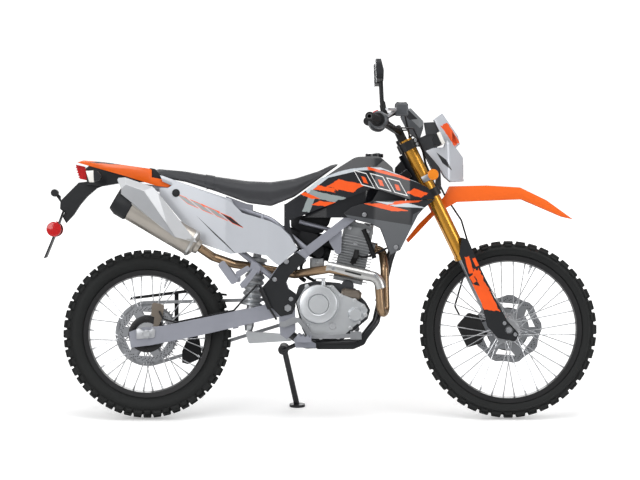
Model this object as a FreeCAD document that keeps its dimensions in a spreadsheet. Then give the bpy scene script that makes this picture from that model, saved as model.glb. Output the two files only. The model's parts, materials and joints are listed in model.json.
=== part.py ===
import FreeCAD, Part
import math
import os

import Sketcher
from FreeCAD import Placement, Rotation, Vector

# A dual sport motorcycle, parked on its side stand.
# It is drawn upright first: x runs forward from the rear axle, y to the rider's left, z up from
# the floor. One placement then leans the whole machine over onto its stand.

SIZES = {
    # stance
    "wheelbase": 1370,
    "lean_angle": 10,
    "rake_angle": 26,
    "clamp_offset": 20,
    "axle_lead": 37,
    # wheels
    "front_radius": 336,
    "rear_radius": 319,
    "front_tyre_half": 40,
    "rear_tyre_half": 54,
    "front_flange_radius": 280,
    "rear_flange_radius": 242,
    "front_rim_half": 25,
    "rear_rim_half": 32,
    "rim_depth": 24,
    "tread_flat": 18,
    "lug_depth": 12,
    "lug_count": 36,
    "spoke_radius": 1.9,
    "axle_radius": 8.5,
    "hub_gap": 0.4,
    "hub_core_radius": 22,
    "front_disc_radius": 131,
    "rear_disc_radius": 111,
    "disc_thick": 4,
    "sprocket_radius": 118,
    "sprocket_thick": 6,
    "chain_line": 70,
    "roller_radius": 5,
    "plate_thick": 2.4,
    "plate_height": 15,
    "link_count": 28,
    "link_waist": 2.6,
    # fork and bars
    "fork_half_spread": 97,
    "fork_tube_radius": 25,
    "stanchion_radius": 20,
    "stem_radius": 15,
    "head_tube_radius": 30,
    "bar_radius": 11,
    "bar_half_width": 415,
    "grip_radius": 16.5,
    "bar_end_bore": 7,
    "bar_end_depth": 60,
    # frame
    "pivot_forward": 534,
    "pivot_height": 418,
    "pivot_radius": 12,
    "frame_half_width": 104,
    "spar_depth": 33,
    "spar_thick": 26,
    "frame_tube_radius": 14,
    "rail_radius": 11,
    "arm_inner": 80,
    "arm_thick": 22,
    "peg_reach": 225,
    # body
    "panel_wall": 4,
    "shroud_half_width": 172,
    "side_panel_half_width": 128,
    "tail_half_width": 92,
    "seat_half_width": 108,
    "tank_half_width": 100,
    "fender_half_width": 62,
    "cowl_half_width": 98,
    # engine and exhaust
    "case_half_width": 84,
    "cylinder_tilt": 12,
    "cylinder_half": 56,
    "fin_half": 74,
    "fin_thick": 3,
    "fin_pitch": 10,
    "header_radius": 16,
    "muffler_radius": 50,
    "muffler_line": 166,
    # side stand
    "stand_forward": 518,
    "stand_height": 262,
    "stand_side": 122,
    "stand_radius": 11,
    "stand_pin_radius": 8,
    # where the finished part's origin lies
    "origin_forward": 658,
    "origin_left": 197,
}

doc = FreeCAD.newDocument("motorcycle")
sheet = doc.addObject("Spreadsheet::Sheet", "Sizes")
for row, (name, number) in enumerate(SIZES.items(), 1):
    sheet.set("A%d" % row, name)
    sheet.set("B%d" % row, str(number))
    sheet.setAlias("B%d" % row, name)
doc.recompute()


def cell(name):
    return float(sheet.get(name))


WHEELBASE = cell("wheelbase")
RAKE = math.radians(cell("rake_angle"))
FRONT_R = cell("front_radius")
REAR_R = cell("rear_radius")
SPREAD = cell("fork_half_spread")
LEAD = cell("clamp_offset") + cell("axle_lead")
PIVOT = (cell("pivot_forward"), cell("pivot_height"))
LEAN = math.radians(cell("lean_angle"))
# a leaning tyre stands on the edge of its middle lugs, a little below its upright low point
SINK = cell("tread_flat") * math.sin(LEAN)
STANCE = Placement(
    Vector(-cell("origin_forward"), -cell("origin_left"), SINK),
    Rotation(Vector(1, 0, 0), -cell("lean_angle")),
)
# the gearbox shaft that drives the chain
DRIVE = (604, 418)
DRIVE_RADIUS = 34
NODES = []


# Helpers for points

def fork_point(ahead, up):
    """A point given ahead of the steering axis and up along it, as x and z."""
    x = WHEELBASE + math.cos(RAKE) * (ahead - LEAD) - math.sin(RAKE) * up
    z = FRONT_R + math.sin(RAKE) * (ahead - LEAD) + math.cos(RAKE) * up
    return (x, z)


def fork_points(*pairs):
    return [fork_point(*pair[:2]) + tuple(pair[2:]) for pair in pairs]


def fork_space(ahead, side, up):
    x, z = fork_point(ahead, up)
    return (x, side, z)


def cylinder_point(ahead, up):
    """A point ahead of the cylinder's axis and up along it from the crankshaft."""
    tilt = math.radians(cell("cylinder_tilt"))
    x = 735 + math.cos(tilt) * ahead + math.sin(tilt) * up
    z = 400 - math.sin(tilt) * ahead + math.cos(tilt) * up
    return (x, z)


def cylinder_box(back, front, low, high):
    return [cylinder_point(a, u) for a, u in
            ((back, low), (front, low), (front, high), (back, high))]


def round_outline(centre, radius, count):
    return [(centre[0] + radius * math.cos(math.tau * i / count),
             centre[1] + radius * math.sin(math.tau * i / count)) for i in range(count)]


# Helpers for shapes

def bind(item, field, size):
    """A text size is a rule on the sheet's cells; a number is used as it is."""
    if isinstance(size, str):
        item.setExpression(field, size)
    else:
        item.setExpression(field, "%.6f" % size)


def add_loop(sketch, corners):
    """A closed loop of straight lines; a corner's third number rounds it."""
    pieces = []
    count = len(corners)
    for i, corner in enumerate(corners):
        here = Vector(corner[0], corner[1], 0)
        radius = corner[2] if len(corner) > 2 else 0
        if not radius:
            pieces.append((here, here, None))
            continue
        before = Vector(*corners[i - 1][:2], 0) - here
        after = Vector(*corners[(i + 1) % count][:2], 0) - here
        half = before.getAngle(after) / 2
        reach = radius / math.tan(half)
        start = here + before.normalize() * reach
        end = here + after.normalize() * reach
        middle = here + (before + after).normalize() * (radius / math.sin(half))
        near = middle + (here - middle).normalize() * radius
        pieces.append((start, end, Part.Arc(start, near, end)))
    for i, (start, end, arc) in enumerate(pieces):
        if arc:
            sketch.addGeometry(arc, False)
        follow = pieces[(i + 1) % count][0]
        if (follow - end).Length > 1e-6:
            sketch.addGeometry(Part.LineSegment(end, follow), False)


def side_sketch(loops, at="0"):
    """A sketch in a side view, x across and z up, at a distance to the left."""
    sketch = doc.addObject("Sketcher::SketchObject", "SideOutline")
    sketch.Placement = Placement(Vector(0, 0, 0), Rotation(Vector(1, 0, 0), 90))
    for corners in loops:
        add_loop(sketch, corners)
    bind(sketch, "Placement.Base.y", at)
    return sketch


def pull(sketch, direction, length):
    solid = doc.addObject("Part::Extrusion", "Slab")
    solid.Base = sketch
    solid.DirMode = "Custom"
    solid.Dir = Vector(*direction)
    solid.Solid = True
    bind(solid, "LengthFwd", length)
    return solid


def slab(corners, low, high, holes=()):
    """A side outline pulled across the machine, from one y to a higher one."""
    sketch = side_sketch([corners, *holes], low)
    return pull(sketch, (0, 1, 0), "(%s) - (%s)" % (high, low))


def plan(corners, low=-50, high=1500):
    """An outline in the view from above, x and y, pulled upwards."""
    sketch = doc.addObject("Sketcher::SketchObject", "PlanOutline")
    sketch.Placement = Placement(Vector(0, 0, low), Rotation())
    add_loop(sketch, corners)
    return pull(sketch, (0, 0, 1), high - low)


def across(corners, forward, length):
    """An outline in the view from behind, y and z, pulled forwards."""
    sketch = doc.addObject("Sketcher::SketchObject", "CrossOutline")
    sketch.Placement = Placement(Vector(forward, 0, 0), Rotation(Vector(1, 1, 1), 120))
    add_loop(sketch, corners)
    return pull(sketch, (1, 0, 0), length)


def fork_plate(corners, low, high):
    """An outline seen along the steering axis, ahead and sideways, pulled up along it."""
    sketch = doc.addObject("Sketcher::SketchObject", "ForkOutline")
    sketch.Placement = Placement(Vector(*fork_space(0, 0, low)),
                                 Rotation(Vector(0, 1, 0), -cell("rake_angle")))
    add_loop(sketch, corners)
    return pull(sketch, (-math.sin(RAKE), 0, math.cos(RAKE)), high - low)


def rod(start, end, radius):
    """A round bar from one point to another."""
    start, end = Vector(*start), Vector(*end)
    solid = doc.addObject("Part::Cylinder", "Rod")
    bind(solid, "Radius", radius)
    solid.Height = (end - start).Length
    solid.Placement = Placement(start, Rotation(Vector(0, 0, 1), end - start))
    return solid


def pin(centre, low, high, radius):
    """A round bar across the machine."""
    solid = doc.addObject("Part::Cylinder", "Pin")
    bind(solid, "Radius", radius)
    bind(solid, "Height", "(%s) - (%s)" % (high, low))
    solid.Placement = Placement(Vector(centre[0], 0, centre[1]), Rotation(Vector(1, 0, 0), -90))
    bind(solid, "Placement.Base.y", low)
    return solid


def lathe(centre, profile):
    """A turned piece about an axis across the machine; its profile is radius and y."""
    sketch = doc.addObject("Sketcher::SketchObject", "TurnedProfile")
    sketch.Placement = Placement(Vector(centre[0], 0, centre[1]), Rotation())
    add_loop(sketch, profile)
    solid = doc.addObject("Part::Revolution", "Turned")
    solid.Source = sketch
    solid.Axis = Vector(0, 1, 0)
    solid.Base = Vector(centre[0], 0, centre[1])
    solid.Angle = 360
    solid.Solid = True
    return solid


def spindle(start, end, profile):
    """A turned piece about a slanted axis; its profile is radius and distance along it."""
    start, end = Vector(*start), Vector(*end)
    sketch = doc.addObject("Sketcher::SketchObject", "TurnedProfile")
    add_loop(sketch, profile)
    turn = doc.addObject("Part::Revolution", "Turned")
    turn.Source = sketch
    turn.Axis = Vector(0, 1, 0)
    turn.Angle = 360
    turn.Solid = True
    turn.Placement = Placement(start, Rotation(Vector(0, 1, 0), end - start))
    return turn


def tube(points, radius, bend):
    """A round tube along straight runs joined by arcs."""
    spots = [Vector(*point) for point in points]
    edges = []
    last = spots[0]
    for before, here, after in zip(spots, spots[1:], spots[2:]):
        back = (before - here).normalize()
        on = (after - here).normalize()
        half = back.getAngle(on) / 2
        reach = bend / math.tan(half)
        start, end = here + back * reach, here + on * reach
        middle = here + (back + on).normalize() * (bend / math.sin(half) - bend)
        if (start - last).Length > 1e-6:
            edges.append(Part.LineSegment(last, start).toShape())
        edges.append(Part.Arc(start, middle, end).toShape())
        last = end
    edges.append(Part.LineSegment(last, spots[-1]).toShape())
    route = doc.addObject("Part::Feature", "Route")
    route.Shape = Part.Wire(edges)
    ring = doc.addObject("Part::Circle", "TubeSection")
    bind(ring, "Radius", radius)
    ring.Placement = Placement(spots[0], Rotation(Vector(0, 0, 1), spots[1] - spots[0]))
    sweep = doc.addObject("Part::Sweep", "Tube")
    sweep.Sections = [ring]
    sweep.Spine = (route, ["Edge%d" % (i + 1) for i in range(len(edges))])
    sweep.Solid = True
    return sweep


def loft(sections):
    """A solid through cross sections; each is x and an outline of y and z."""
    sketches = []
    for forward, corners in sections:
        sketch = doc.addObject("Sketcher::SketchObject", "CrossOutline")
        sketch.Placement = Placement(Vector(forward, 0, 0), Rotation(Vector(1, 1, 1), 120))
        add_loop(sketch, corners)
        sketches.append(sketch)
    solid = doc.addObject("Part::Loft", "Loft")
    solid.Sections = sketches
    solid.Solid = True
    solid.Ruled = True
    return solid


def fuse(*shapes):
    solid = doc.addObject("Part::MultiFuse", "Joined")
    solid.Shapes = list(shapes)
    return solid


def common(first, second):
    solid = doc.addObject("Part::Common", "Shared")
    solid.Base = first
    solid.Tool = second
    return solid


def cut(first, *tools):
    for tool in tools:
        solid = doc.addObject("Part::Cut", "Cut")
        solid.Base = first
        solid.Tool = tool
        first = solid
    return first


def group(*shapes):
    solid = doc.addObject("Part::Compound", "Group")
    solid.Links = list(shapes)
    return solid


def mirror(shape):
    other = doc.addObject("Part::Mirroring", "Mirrored")
    other.Source = shape
    other.Normal = Vector(0, 1, 0)
    return other


def pair(shape):
    return group(shape, mirror(shape))


def node(label, shape):
    """A finished piece: it takes its name and leans over with the machine."""
    if shape.TypeId == "Part::Cylinder":
        shape = group(shape)
    shape.Label = label
    shape.Placement = STANCE.multiply(shape.Placement)
    NODES.append(shape)


# Wheels

def ring_outline(centre, radius, shares=(0.5,), turn=0.0):
    """Points on a circle, some at shares of each lug's pitch; a share may carry its own radius."""
    count = int(cell("lug_count"))
    points = []
    for i in range(count):
        for share in shares:
            share, reach = share if isinstance(share, tuple) else (share, radius)
            angle = math.tau * (i + share + turn) / count
            points.append((centre[0] + reach * math.cos(angle), centre[1] + reach * math.sin(angle)))
    return points


def lugs(centre, tip, base, turn):
    """A toothed outline: each lug is half a pitch long, with slightly slanted flanks."""
    shares = ((-0.29, base), (-0.23, tip), (0.23, tip), (0.29, base))
    return ring_outline(centre, tip, shares, turn)


def tyre(label, centre, radius, half, flange, rim_half):
    """A knobby tyre: a middle row of lugs, a staggered row on each shoulder, sunk walls."""
    flat = cell("tread_flat")
    depth = cell("lug_depth")
    step = depth * 0.6
    middle = slab(lugs(centre, radius, radius - depth, 0), -flat, flat)
    row = lugs(centre, radius - step, radius - depth - step, 0.5)
    shoulders = [slab(row, low, high) for low, high in ((flat, half), (-half, -flat))]
    corner = 1 / math.cos(math.pi / cell("lug_count"))
    hole = slab(ring_outline(centre, (flange + 0.2) * corner), -half - 2, half + 2)
    sunk = ring_outline(centre, (flange + depth) * corner)
    walls = [slab(sunk, low, high) for low, high in ((rim_half + 4, half + 2),
                                                     (-half - 2, -rim_half - 4))]
    node(label, cut(fuse(middle, *shoulders), hole, *walls))


def rim(label, centre, flange, rim_half):
    inner = flange - cell("rim_depth")
    seat = rim_half - 6
    profile = [
        (inner, -8), (inner + 5, -rim_half + 2), (flange, -rim_half), (flange, -seat),
        (flange - 12.5, -seat), (inner + 7, -8), (inner + 7, 8), (flange - 12.5, seat),
        (flange, seat), (flange, rim_half), (inner + 5, rim_half - 2), (inner, 8),
    ]
    node(label, lathe(centre, profile))


def spoke(centre, turn, lead, side, hub_radius, hub_side, rim_radius, rim_side):
    """One straight spoke, from the hub's flange to the rim, leading or trailing."""
    def place(angle, radius, y):
        return Vector(centre[0] + radius * math.cos(angle), y * side,
                      centre[1] + radius * math.sin(angle))
    start = place(turn, hub_radius, hub_side)
    end = place(turn + lead, rim_radius, rim_side)
    wire = doc.addObject("Part::Prism", "Spoke")
    wire.Polygon = 6
    bind(wire, "Circumradius", "Sizes.spoke_radius")
    wire.Height = (end - start).Length
    wire.Placement = Placement(start, Rotation(Vector(0, 0, 1), end - start))
    return wire


def spoked_hub(label, centre, profile, flange_radius, flange_side, rim_inner):
    core = lathe(centre, profile)
    spokes = []
    for i in range(9):
        for side in (-1, 1):
            base = math.tau * (i + (0.25 if side > 0 else 0)) / 9
            for lead, inset in ((0.62, 0), (-0.62, 3.5)):
                spokes.append(spoke(centre, base + (0.2 if lead < 0 else 0), lead, side,
                                    flange_radius, flange_side - inset, rim_inner - 0.4, 5))
    node(label, fuse(core, *spokes))


def wave_disc(label, centre, radius, side, waves=10):
    """A brake disc with a waved edge and open windows inside."""
    edge = []
    for i in range(waves * 4):
        angle = math.tau * i / (waves * 4)
        reach = radius if i % 4 in (0, 1) else radius - 7
        edge.append((centre[0] + reach * math.cos(angle), centre[1] + reach * math.sin(angle)))
    windows = []
    for i in range(6):
        start = math.tau * i / 6
        corners = [(0.62, 0.10), (0.80, 0.08), (0.80, 0.80), (0.62, 0.66)]
        windows.append([(centre[0] + radius * r * math.cos(start + a),
                         centre[1] + radius * r * math.sin(start + a)) for r, a in corners])
    bore = round_outline(centre, radius * 0.4, 24)
    node(label, slab(edge, side, "%s + Sizes.disc_thick" % side, [*windows, bore]))


def front_wheel():
    centre = (WHEELBASE, FRONT_R)
    flange = cell("front_flange_radius")
    rim_half = cell("front_rim_half")
    bore = cell("axle_radius") + cell("hub_gap")
    core = cell("hub_core_radius")
    tyre("front_tyre", centre, FRONT_R, cell("front_tyre_half"), flange, rim_half)
    rim("front_rim", centre, flange, rim_half)
    profile = [
        (bore, -50), (core, -50), (core, -36), (36, -36), (36, -28), (core, -24),
        (core, 22), (44, 26), (44, 34), (50, 40), (62, 56), (62, 59.5), (bore, 59.5),
    ]
    spoked_hub("front_hub", centre, profile, 33, 30, flange - cell("rim_depth"))
    wave_disc("front_disc", centre, cell("front_disc_radius"), "59.7", 9)


def rear_wheel():
    centre = (0, REAR_R)
    flange = cell("rear_flange_radius")
    rim_half = cell("rear_rim_half")
    bore = cell("axle_radius") + cell("hub_gap")
    core = cell("hub_core_radius")
    line = cell("chain_line")
    back = line - cell("sprocket_thick") / 2
    tyre("rear_tyre", centre, REAR_R, cell("rear_tyre_half"), flange, rim_half)
    rim("rear_rim", centre, flange, rim_half)
    profile = [
        (bore, -62), (58, -62), (58, -58), (44, -40), (44, -32), (core, -26), (core, 28),
        (48, 32), (48, 40), (62, 50), (62, back - 0.2), (bore, back - 0.2),
    ]
    spoked_hub("rear_hub", centre, profile, 40, 35, flange - cell("rim_depth"))
    wave_disc("rear_disc", centre, cell("rear_disc_radius"), "-62.2 - Sizes.disc_thick")
    sprocket(centre, back)


def sprocket(centre, back):
    """The driven sprocket: teeth outside, windows inside."""
    teeth = 48
    radius = cell("sprocket_radius")
    edge = []
    for i in range(teeth):
        for share, reach in ((-0.25, -5), (-0.1, 3), (0.1, 3), (0.25, -5)):
            angle = math.tau * (i + share) / teeth
            edge.append((centre[0] + (radius + reach) * math.cos(angle),
                         centre[1] + (radius + reach) * math.sin(angle)))
    windows = []
    for i in range(6):
        start = math.tau * i / 6
        corners = [(0.62, 0.16), (0.84, 0.12), (0.84, 0.78), (0.62, 0.72)]
        windows.append([(centre[0] + radius * r * math.cos(start + a),
                         centre[1] + radius * r * math.sin(start + a)) for r, a in corners])
    bore = round_outline(centre, cell("axle_radius") + 12, 20)
    low = "%f" % back
    node("rear_sprocket", slab(edge, low, "%s + Sizes.sprocket_thick" % low, [*windows, bore]))


# Fork, bars and what they carry

def axles():
    reach = SPREAD + 26
    node("front_axle", pin((WHEELBASE, FRONT_R), -reach, reach, "Sizes.axle_radius"))
    arm = cell("arm_inner") + cell("arm_thick") + 16
    node("rear_axle", pin((0, REAR_R), -arm, arm, "Sizes.axle_radius"))


def fork_rod(ahead, side, low, high, radius):
    return rod(fork_space(ahead, side, low), fork_space(ahead, side, high), radius)


def triple_clamps():
    offset = cell("clamp_offset")
    shapes = []
    reach = SPREAD + 33
    right = [(-20, -18), (-8, -50), (-14, -84, 16), (-14, -reach, 24), (54, -reach, 24),
             (54, -72, 16), (42, -40)]
    left = [(ahead, -side, *bend) for ahead, side, *bend in reversed(right)]
    for low, high in ((775, 809), (576, 608)):
        shapes.append(fork_plate([*right, *left], low, high))
    stem = fork_rod(0, 0, 576, 828, "Sizes.stem_radius")
    body = fuse(*shapes, stem)
    bores = [fork_rod(offset, side, 560, 830, "Sizes.fork_tube_radius + 0.1")
             for side in (-SPREAD, SPREAD)]
    risers = [slab(fork_points((-4, 809), (28, 809), (28, 880, 10), (-4, 880, 10)), y - 12, y + 12)
              for y in (-42, 42)]
    bar_bore = pin(fork_point(12, 854), -80, 80, "Sizes.bar_radius + 0.1")
    node("triple_clamps", cut(fuse(body, *risers), *bores, bar_bore))


def fork_legs():
    offset = cell("clamp_offset")
    uppers = [fuse(fork_rod(offset, y, 318, 816, "Sizes.fork_tube_radius"),
                   fork_rod(offset, y, 318, 332, "Sizes.fork_tube_radius + 3"))
              for y in (-SPREAD, SPREAD)]
    node("fork_upper_tubes", group(*uppers))
    lowers = []
    for y in (-SPREAD, SPREAD):
        leg = fork_rod(offset, y, -24, 317.8, "Sizes.stanchion_radius")
        lug = slab(fork_points((2, -36, 8), (66, -34, 10), (67, 14, 10), (40, 70), (2, 70)),
                   y - 21, y + 21)
        lowers.append(cut(fuse(leg, lug),
                          pin((WHEELBASE, FRONT_R), y - 40, y + 40, "Sizes.axle_radius + 0.1")))
    node("fork_lowers", group(*lowers))


def fork_guards():
    offset = cell("clamp_offset")
    outline = fork_points((50, 392), (67, 372), (62, 295), (61, 131), (66, 33), (84, -30, 12),
                          (58, -50, 8), (4, -8), (-12, 48), (7, 135), (7, 260), (12, 340))
    shell = slab(outline, SPREAD - 24, SPREAD + 34)
    leg = fork_rod(offset, SPREAD, -80, 420, "Sizes.stanchion_radius + 0.2")
    inner = slab(fork_points((-40, -70), (56, -56), (79, -30), (62, 33), (57, 131), (58, 295),
                             (63, 368), (50, 386), (-40, 420)), SPREAD - 30, SPREAD + 30)
    eye = pin((WHEELBASE, FRONT_R), SPREAD + 20, SPREAD + 60, 16)
    collar = fork_rod(offset, SPREAD, 300, 420, "Sizes.fork_tube_radius + 4")
    node("fork_guards", pair(cut(shell, inner, leg, collar, eye)))


def front_fender():
    wall = cell("panel_wall")
    half = cell("fender_half_width")
    top = [(-142, 476), (-74, 508), (-7, 530), (60, 560), (93, 586), (224, 526), (332, 465),
           (401, 378), (461, 267)]
    under = [(425, 297), (318, 422), (94, 520), (0, 515), (-140, 462)]
    outer = slab(fork_points(*top, *under), -half, half)
    tip = fork_point(461, 267)[0]
    nose = fork_point(300, 450)[0]
    mid = fork_point(70, 540)[0]
    tail = fork_point(-142, 476)[0]
    outline = [(tail - 10, -28), (mid - 70, -half + 8), (mid, -half), (nose, -half),
               (tip + 5, -half * 0.62, 20), (tip + 5, half * 0.62, 20), (nose, half), (mid, half),
               (mid - 70, half - 8), (tail - 10, 28)]
    body = common(outer, plan(outline))
    lower = [(a - 1, s - wall) for a, s in top]
    trench = slab(fork_points((-146, 472), *lower[1:-1], (455, 264), (440, 200), (-150, 300)),
                  -half, half)
    inside = [(x, y - math.copysign(wall, y)) for x, y, *_ in outline]
    shell = cut(body, common(trench, plan(inside)))
    stem = slab(fork_points((-10, 526), (40, 549), (40, 575.8), (-10, 575.8)), -40, 40)
    node("front_fender", fuse(shell, stem))


def headlight_cowl():
    wall = cell("panel_wall")
    half = cell("cowl_half_width")
    side = [(70, 746), (102, 743), (139, 728), (160, 748), (181, 698), (188, 656), (180, 607),
            (150, 580), (104, 600), (92, 628), (89, 671), (82, 702)]
    outer = slab(fork_points(*side), -half, half)
    back = fork_point(70, 746)[0] - 60
    front = fork_point(188, 656)[0]
    shape = [(back, -half), (front - 60, -half, 30), (front + 4, -half * 0.5, 20),
             (front + 4, half * 0.5, 20), (front - 60, half, 30), (back, half)]
    inner_shape = [(x - wall, y - math.copysign(wall, y), *r) for x, y, *r in shape]
    inner_shape[0] = (back - 9, -half + wall)
    inner_shape[-1] = (back - 9, half - wall)
    shell = cut(common(outer, plan(shape)), plan(inner_shape))
    window = slab(fork_points((150, 586), (230, 586), (230, 700), (150, 700)), -54, 54)
    mask = slab(fork_points((151, 840), (190, 847), (206, 742), (199, 712), (168, 702), (150, 742)),
                -half * 0.8, half * 0.8)
    mask_front = plan([(x - 14, y) for x, y, *_ in shape], 900, 1300)
    hollow = slab(fork_points((140, 842), (182, 840), (196, 745), (190, 716), (160, 752)),
                  -half * 0.8 + wall, half * 0.8 - wall)
    screen = cut(common(mask, mask_front), hollow)
    node("headlight_cowl", fuse(cut(shell, window), screen))
    lamp = slab(fork_points((112, 598), (164, 594), (176, 608), (177, 690), (124, 694),
                            (101.2, 690), (91.2, 660), (112, 640)), -53.8, 53.8)
    node("headlight", common(lamp, plan([(x - wall - 1, y * 0.94, *r) for x, y, *r in shape])))


def instrument():
    body = slab(fork_points((61, 924), (92, 916), (113, 851), (100, 826), (76, 801), (63, 801),
                            (44, 838), (42, 898)), -62, 62)
    back_x = fork_point(61, 924)[0]
    taper = plan([(back_x - 40, -46), (back_x + 60, -62), (back_x + 200, -40),
                  (back_x + 200, 40), (back_x + 60, 62), (back_x - 40, 46)])
    stay = slab(fork_points((100, 800), (113, 846), (150, 830), (150, 780)), -36, 36)
    carrier = slab(fork_points((42.2, 582), (62, 590), (84, 640), (104, 700), (128, 770), (128, 800),
                               (104, 800), (42.2, 802), (42.2, 784), (64, 766), (64, 640),
                               (42.2, 604)), -30, 30)
    node("instrument", fuse(common(body, taper), stay, carrier))


def bar_tube(half, radius):
    points = [(-69, -half, 952), (-38, -262, 923), (-22, -185, 912), (12, -92, 854),
              (12, 92, 854), (-22, 185, 912), (-38, 262, 923), (-69, half, 952)]
    return tube([fork_space(*point) for point in points], radius, 40)


def handlebar():
    half = cell("bar_half_width")
    bores = [rod(bar_place(side, half - cell("bar_end_depth")), bar_place(side, half + 30),
                 "Sizes.bar_end_bore") for side in (-1, 1)]
    node("handlebar", cut(bar_tube(half, "Sizes.bar_radius"), *bores))


def bar_place(side, y):
    """A point on the straight end of the handlebar."""
    half = cell("bar_half_width")
    share = (y - 262) / (half - 262)
    return fork_space(-38 - 31 * share, side * y, 923 + 29 * share)


def bar_pieces():
    half = cell("bar_half_width")
    sides = []
    levers = []
    for side in (-1, 1):
        bore = bar_tube(half, "Sizes.bar_radius + 0.1")
        grip = rod(bar_place(side, half - 117), bar_place(side, half), "Sizes.grip_radius")
        flange = rod(bar_place(side, half - 123), bar_place(side, half - 117),
                     "Sizes.grip_radius * 1.6")
        switch = rod(bar_place(side, half - 153), bar_place(side, half - 123),
                     "Sizes.grip_radius + 7")
        perch_at = half - 189, half - 159
        perch = rod(*(bar_place(side, y) for y in perch_at), "Sizes.bar_radius + 7")
        stem = half - 175
        mount_at = fork_space(-16.3, side * stem, 906.4), fork_space(-6, side * stem, 945)
        mount = rod(*mount_at, 9)
        lever = tube([fork_space(-24, side * (stem + 1), 922), fork_space(32, side * (stem + 3), 932),
                      fork_space(30, side * (half - 85), 934),
                      fork_space(2, side * (half - 13), 948)], 6, 26)
        room = rod(*(bar_place(side, y) for y in perch_at), "Sizes.bar_radius + 7.2")
        levers.append(cut(lever, room, rod(*mount_at, 9.2)))
        pieces = [grip, flange, switch, perch, mount]
        if side < 0:
            pieces.append(slab(fork_points((24, 915), (43, 954), (83, 934), (65, 895)),
                               -half + 183, -half + 219))
            pieces.append(rod(fork_space(-8, -half + 197, 926), fork_space(50, -half + 203, 924), 9))
        sides.append(cut(fuse(*pieces), bore))
    node("hand_controls", group(*sides))
    node("levers", group(*levers))
    mirrors(half - 175)
    cables(half)


def mirrors(stem_side):
    shapes = []
    for side in (-1, 1):
        stem = tube([fork_space(-5.9, side * stem_side, 945.3), fork_space(6, side * stem_side, 990),
                     fork_space(34, side * (stem_side + 22), 1055),
                     fork_space(40, side * (stem_side + 52), 1090)], 5, 30)
        boot = rod(fork_space(-5.9, side * stem_side, 945.3), fork_space(3.5, side * stem_side, 981), 8)
        y, up = side * (stem_side + 78), 1096
        head = slab(fork_points((8, 1046), (36, 1046, 8), (56, 1084, 20), (66, 1130, 8), (52, 1146)),
                    y - 66, y + 66)
        x, z = fork_point(30, up)
        shape = across([(y - 66, z - 30, 18), (y + 60, z - 42, 18), (y + 66, z + 34, 22),
                        (y - 52, z + 46, 26)], x - 90, 180)
        shapes.append(fuse(stem, boot, common(head, shape)))
    node("mirrors", group(*shapes))


def cables(half):
    """The clutch and throttle cables down to the lower clamp, and the front brake's hose."""
    top = half - 165
    side_cable = tube([fork_space(-26, top, 903), fork_space(6, top - 4, 872),
                       fork_space(64, 150, 842), fork_space(64, 62, 752), fork_space(50, 56, 700),
                       fork_space(46, 54, 608.2)], 3, 24)
    grown = [fork_rod(cell("clamp_offset"), y, 560, 830, "Sizes.fork_tube_radius + 0.3")
             for y in (-SPREAD, SPREAD)]
    hose = tube([fork_space(60, -half + 219.4, 912), fork_space(60, -half + 255, 912),
                 fork_space(40, -74, 821), fork_space(40, 62, 821), fork_space(66, 86, 821),
                 fork_space(66, 86, 560), fork_space(82, 112, 450), fork_space(66, 137.5, 350),
                 fork_space(-6, 137.5, 250), fork_space(-84, 137.5, 165),
                 fork_space(-84, 86, 128)], 3.5, 15)
    node("control_cables", group(cut(side_cable, *grown), cut(mirror(side_cable), *grown), hose))


def front_signals():
    shapes = []
    for side in (-1, 1):
        low, high = sorted((side * 132, side * 196))
        body = slab(fork_points((108, 748), (108, 774), (122, 786), (148, 786), (146, 740),
                                (122, 742)), low, high)
        stalk = rod(fork_space(122, side * 60, 762), fork_space(122, side * 140, 762), 8)
        shapes.append(fuse(body, stalk))
    bridge = rod(fork_space(122, -61, 762), fork_space(122, 61, 762), 8)
    plate = cut(fuse(*shapes, bridge), slab(fork_points((40, 740), (128.2, 740), (128.2, 800.3),
                                                        (40, 800.3)), -30.3, 30.3))
    node("front_signals", plate)


def front_caliper():
    side = cell("front_disc_radius")
    body = slab(fork_points((-112, 4), (-112, 96, 12), (-50, 122, 12), (-20, 96), (-20, 20),
                            (-60, -4)), SPREAD - 52, SPREAD - 8)
    slot = lathe((WHEELBASE, FRONT_R), [(side * 0.6, 56), (side + 6, 56), (side + 6, 67.4),
                                        (side * 0.6, 67.4)])
    bracket = slab(fork_points((-40, 30), (1.5, 30), (1.5, 68), (-40, 90)), SPREAD - 22, SPREAD - 8)
    node("front_caliper", cut(fuse(body, bracket), slot,
                              fork_rod(cell("clamp_offset"), SPREAD, -40, 200,
                                       "Sizes.stanchion_radius + 0.2")))


# Frame and rear end

def head_tube():
    outer = fork_rod(0, 0, 612, 771, "Sizes.head_tube_radius")
    bore = fork_rod(0, 0, 600, 800, "Sizes.stem_radius + Sizes.hub_gap")
    return outer, bore


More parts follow.
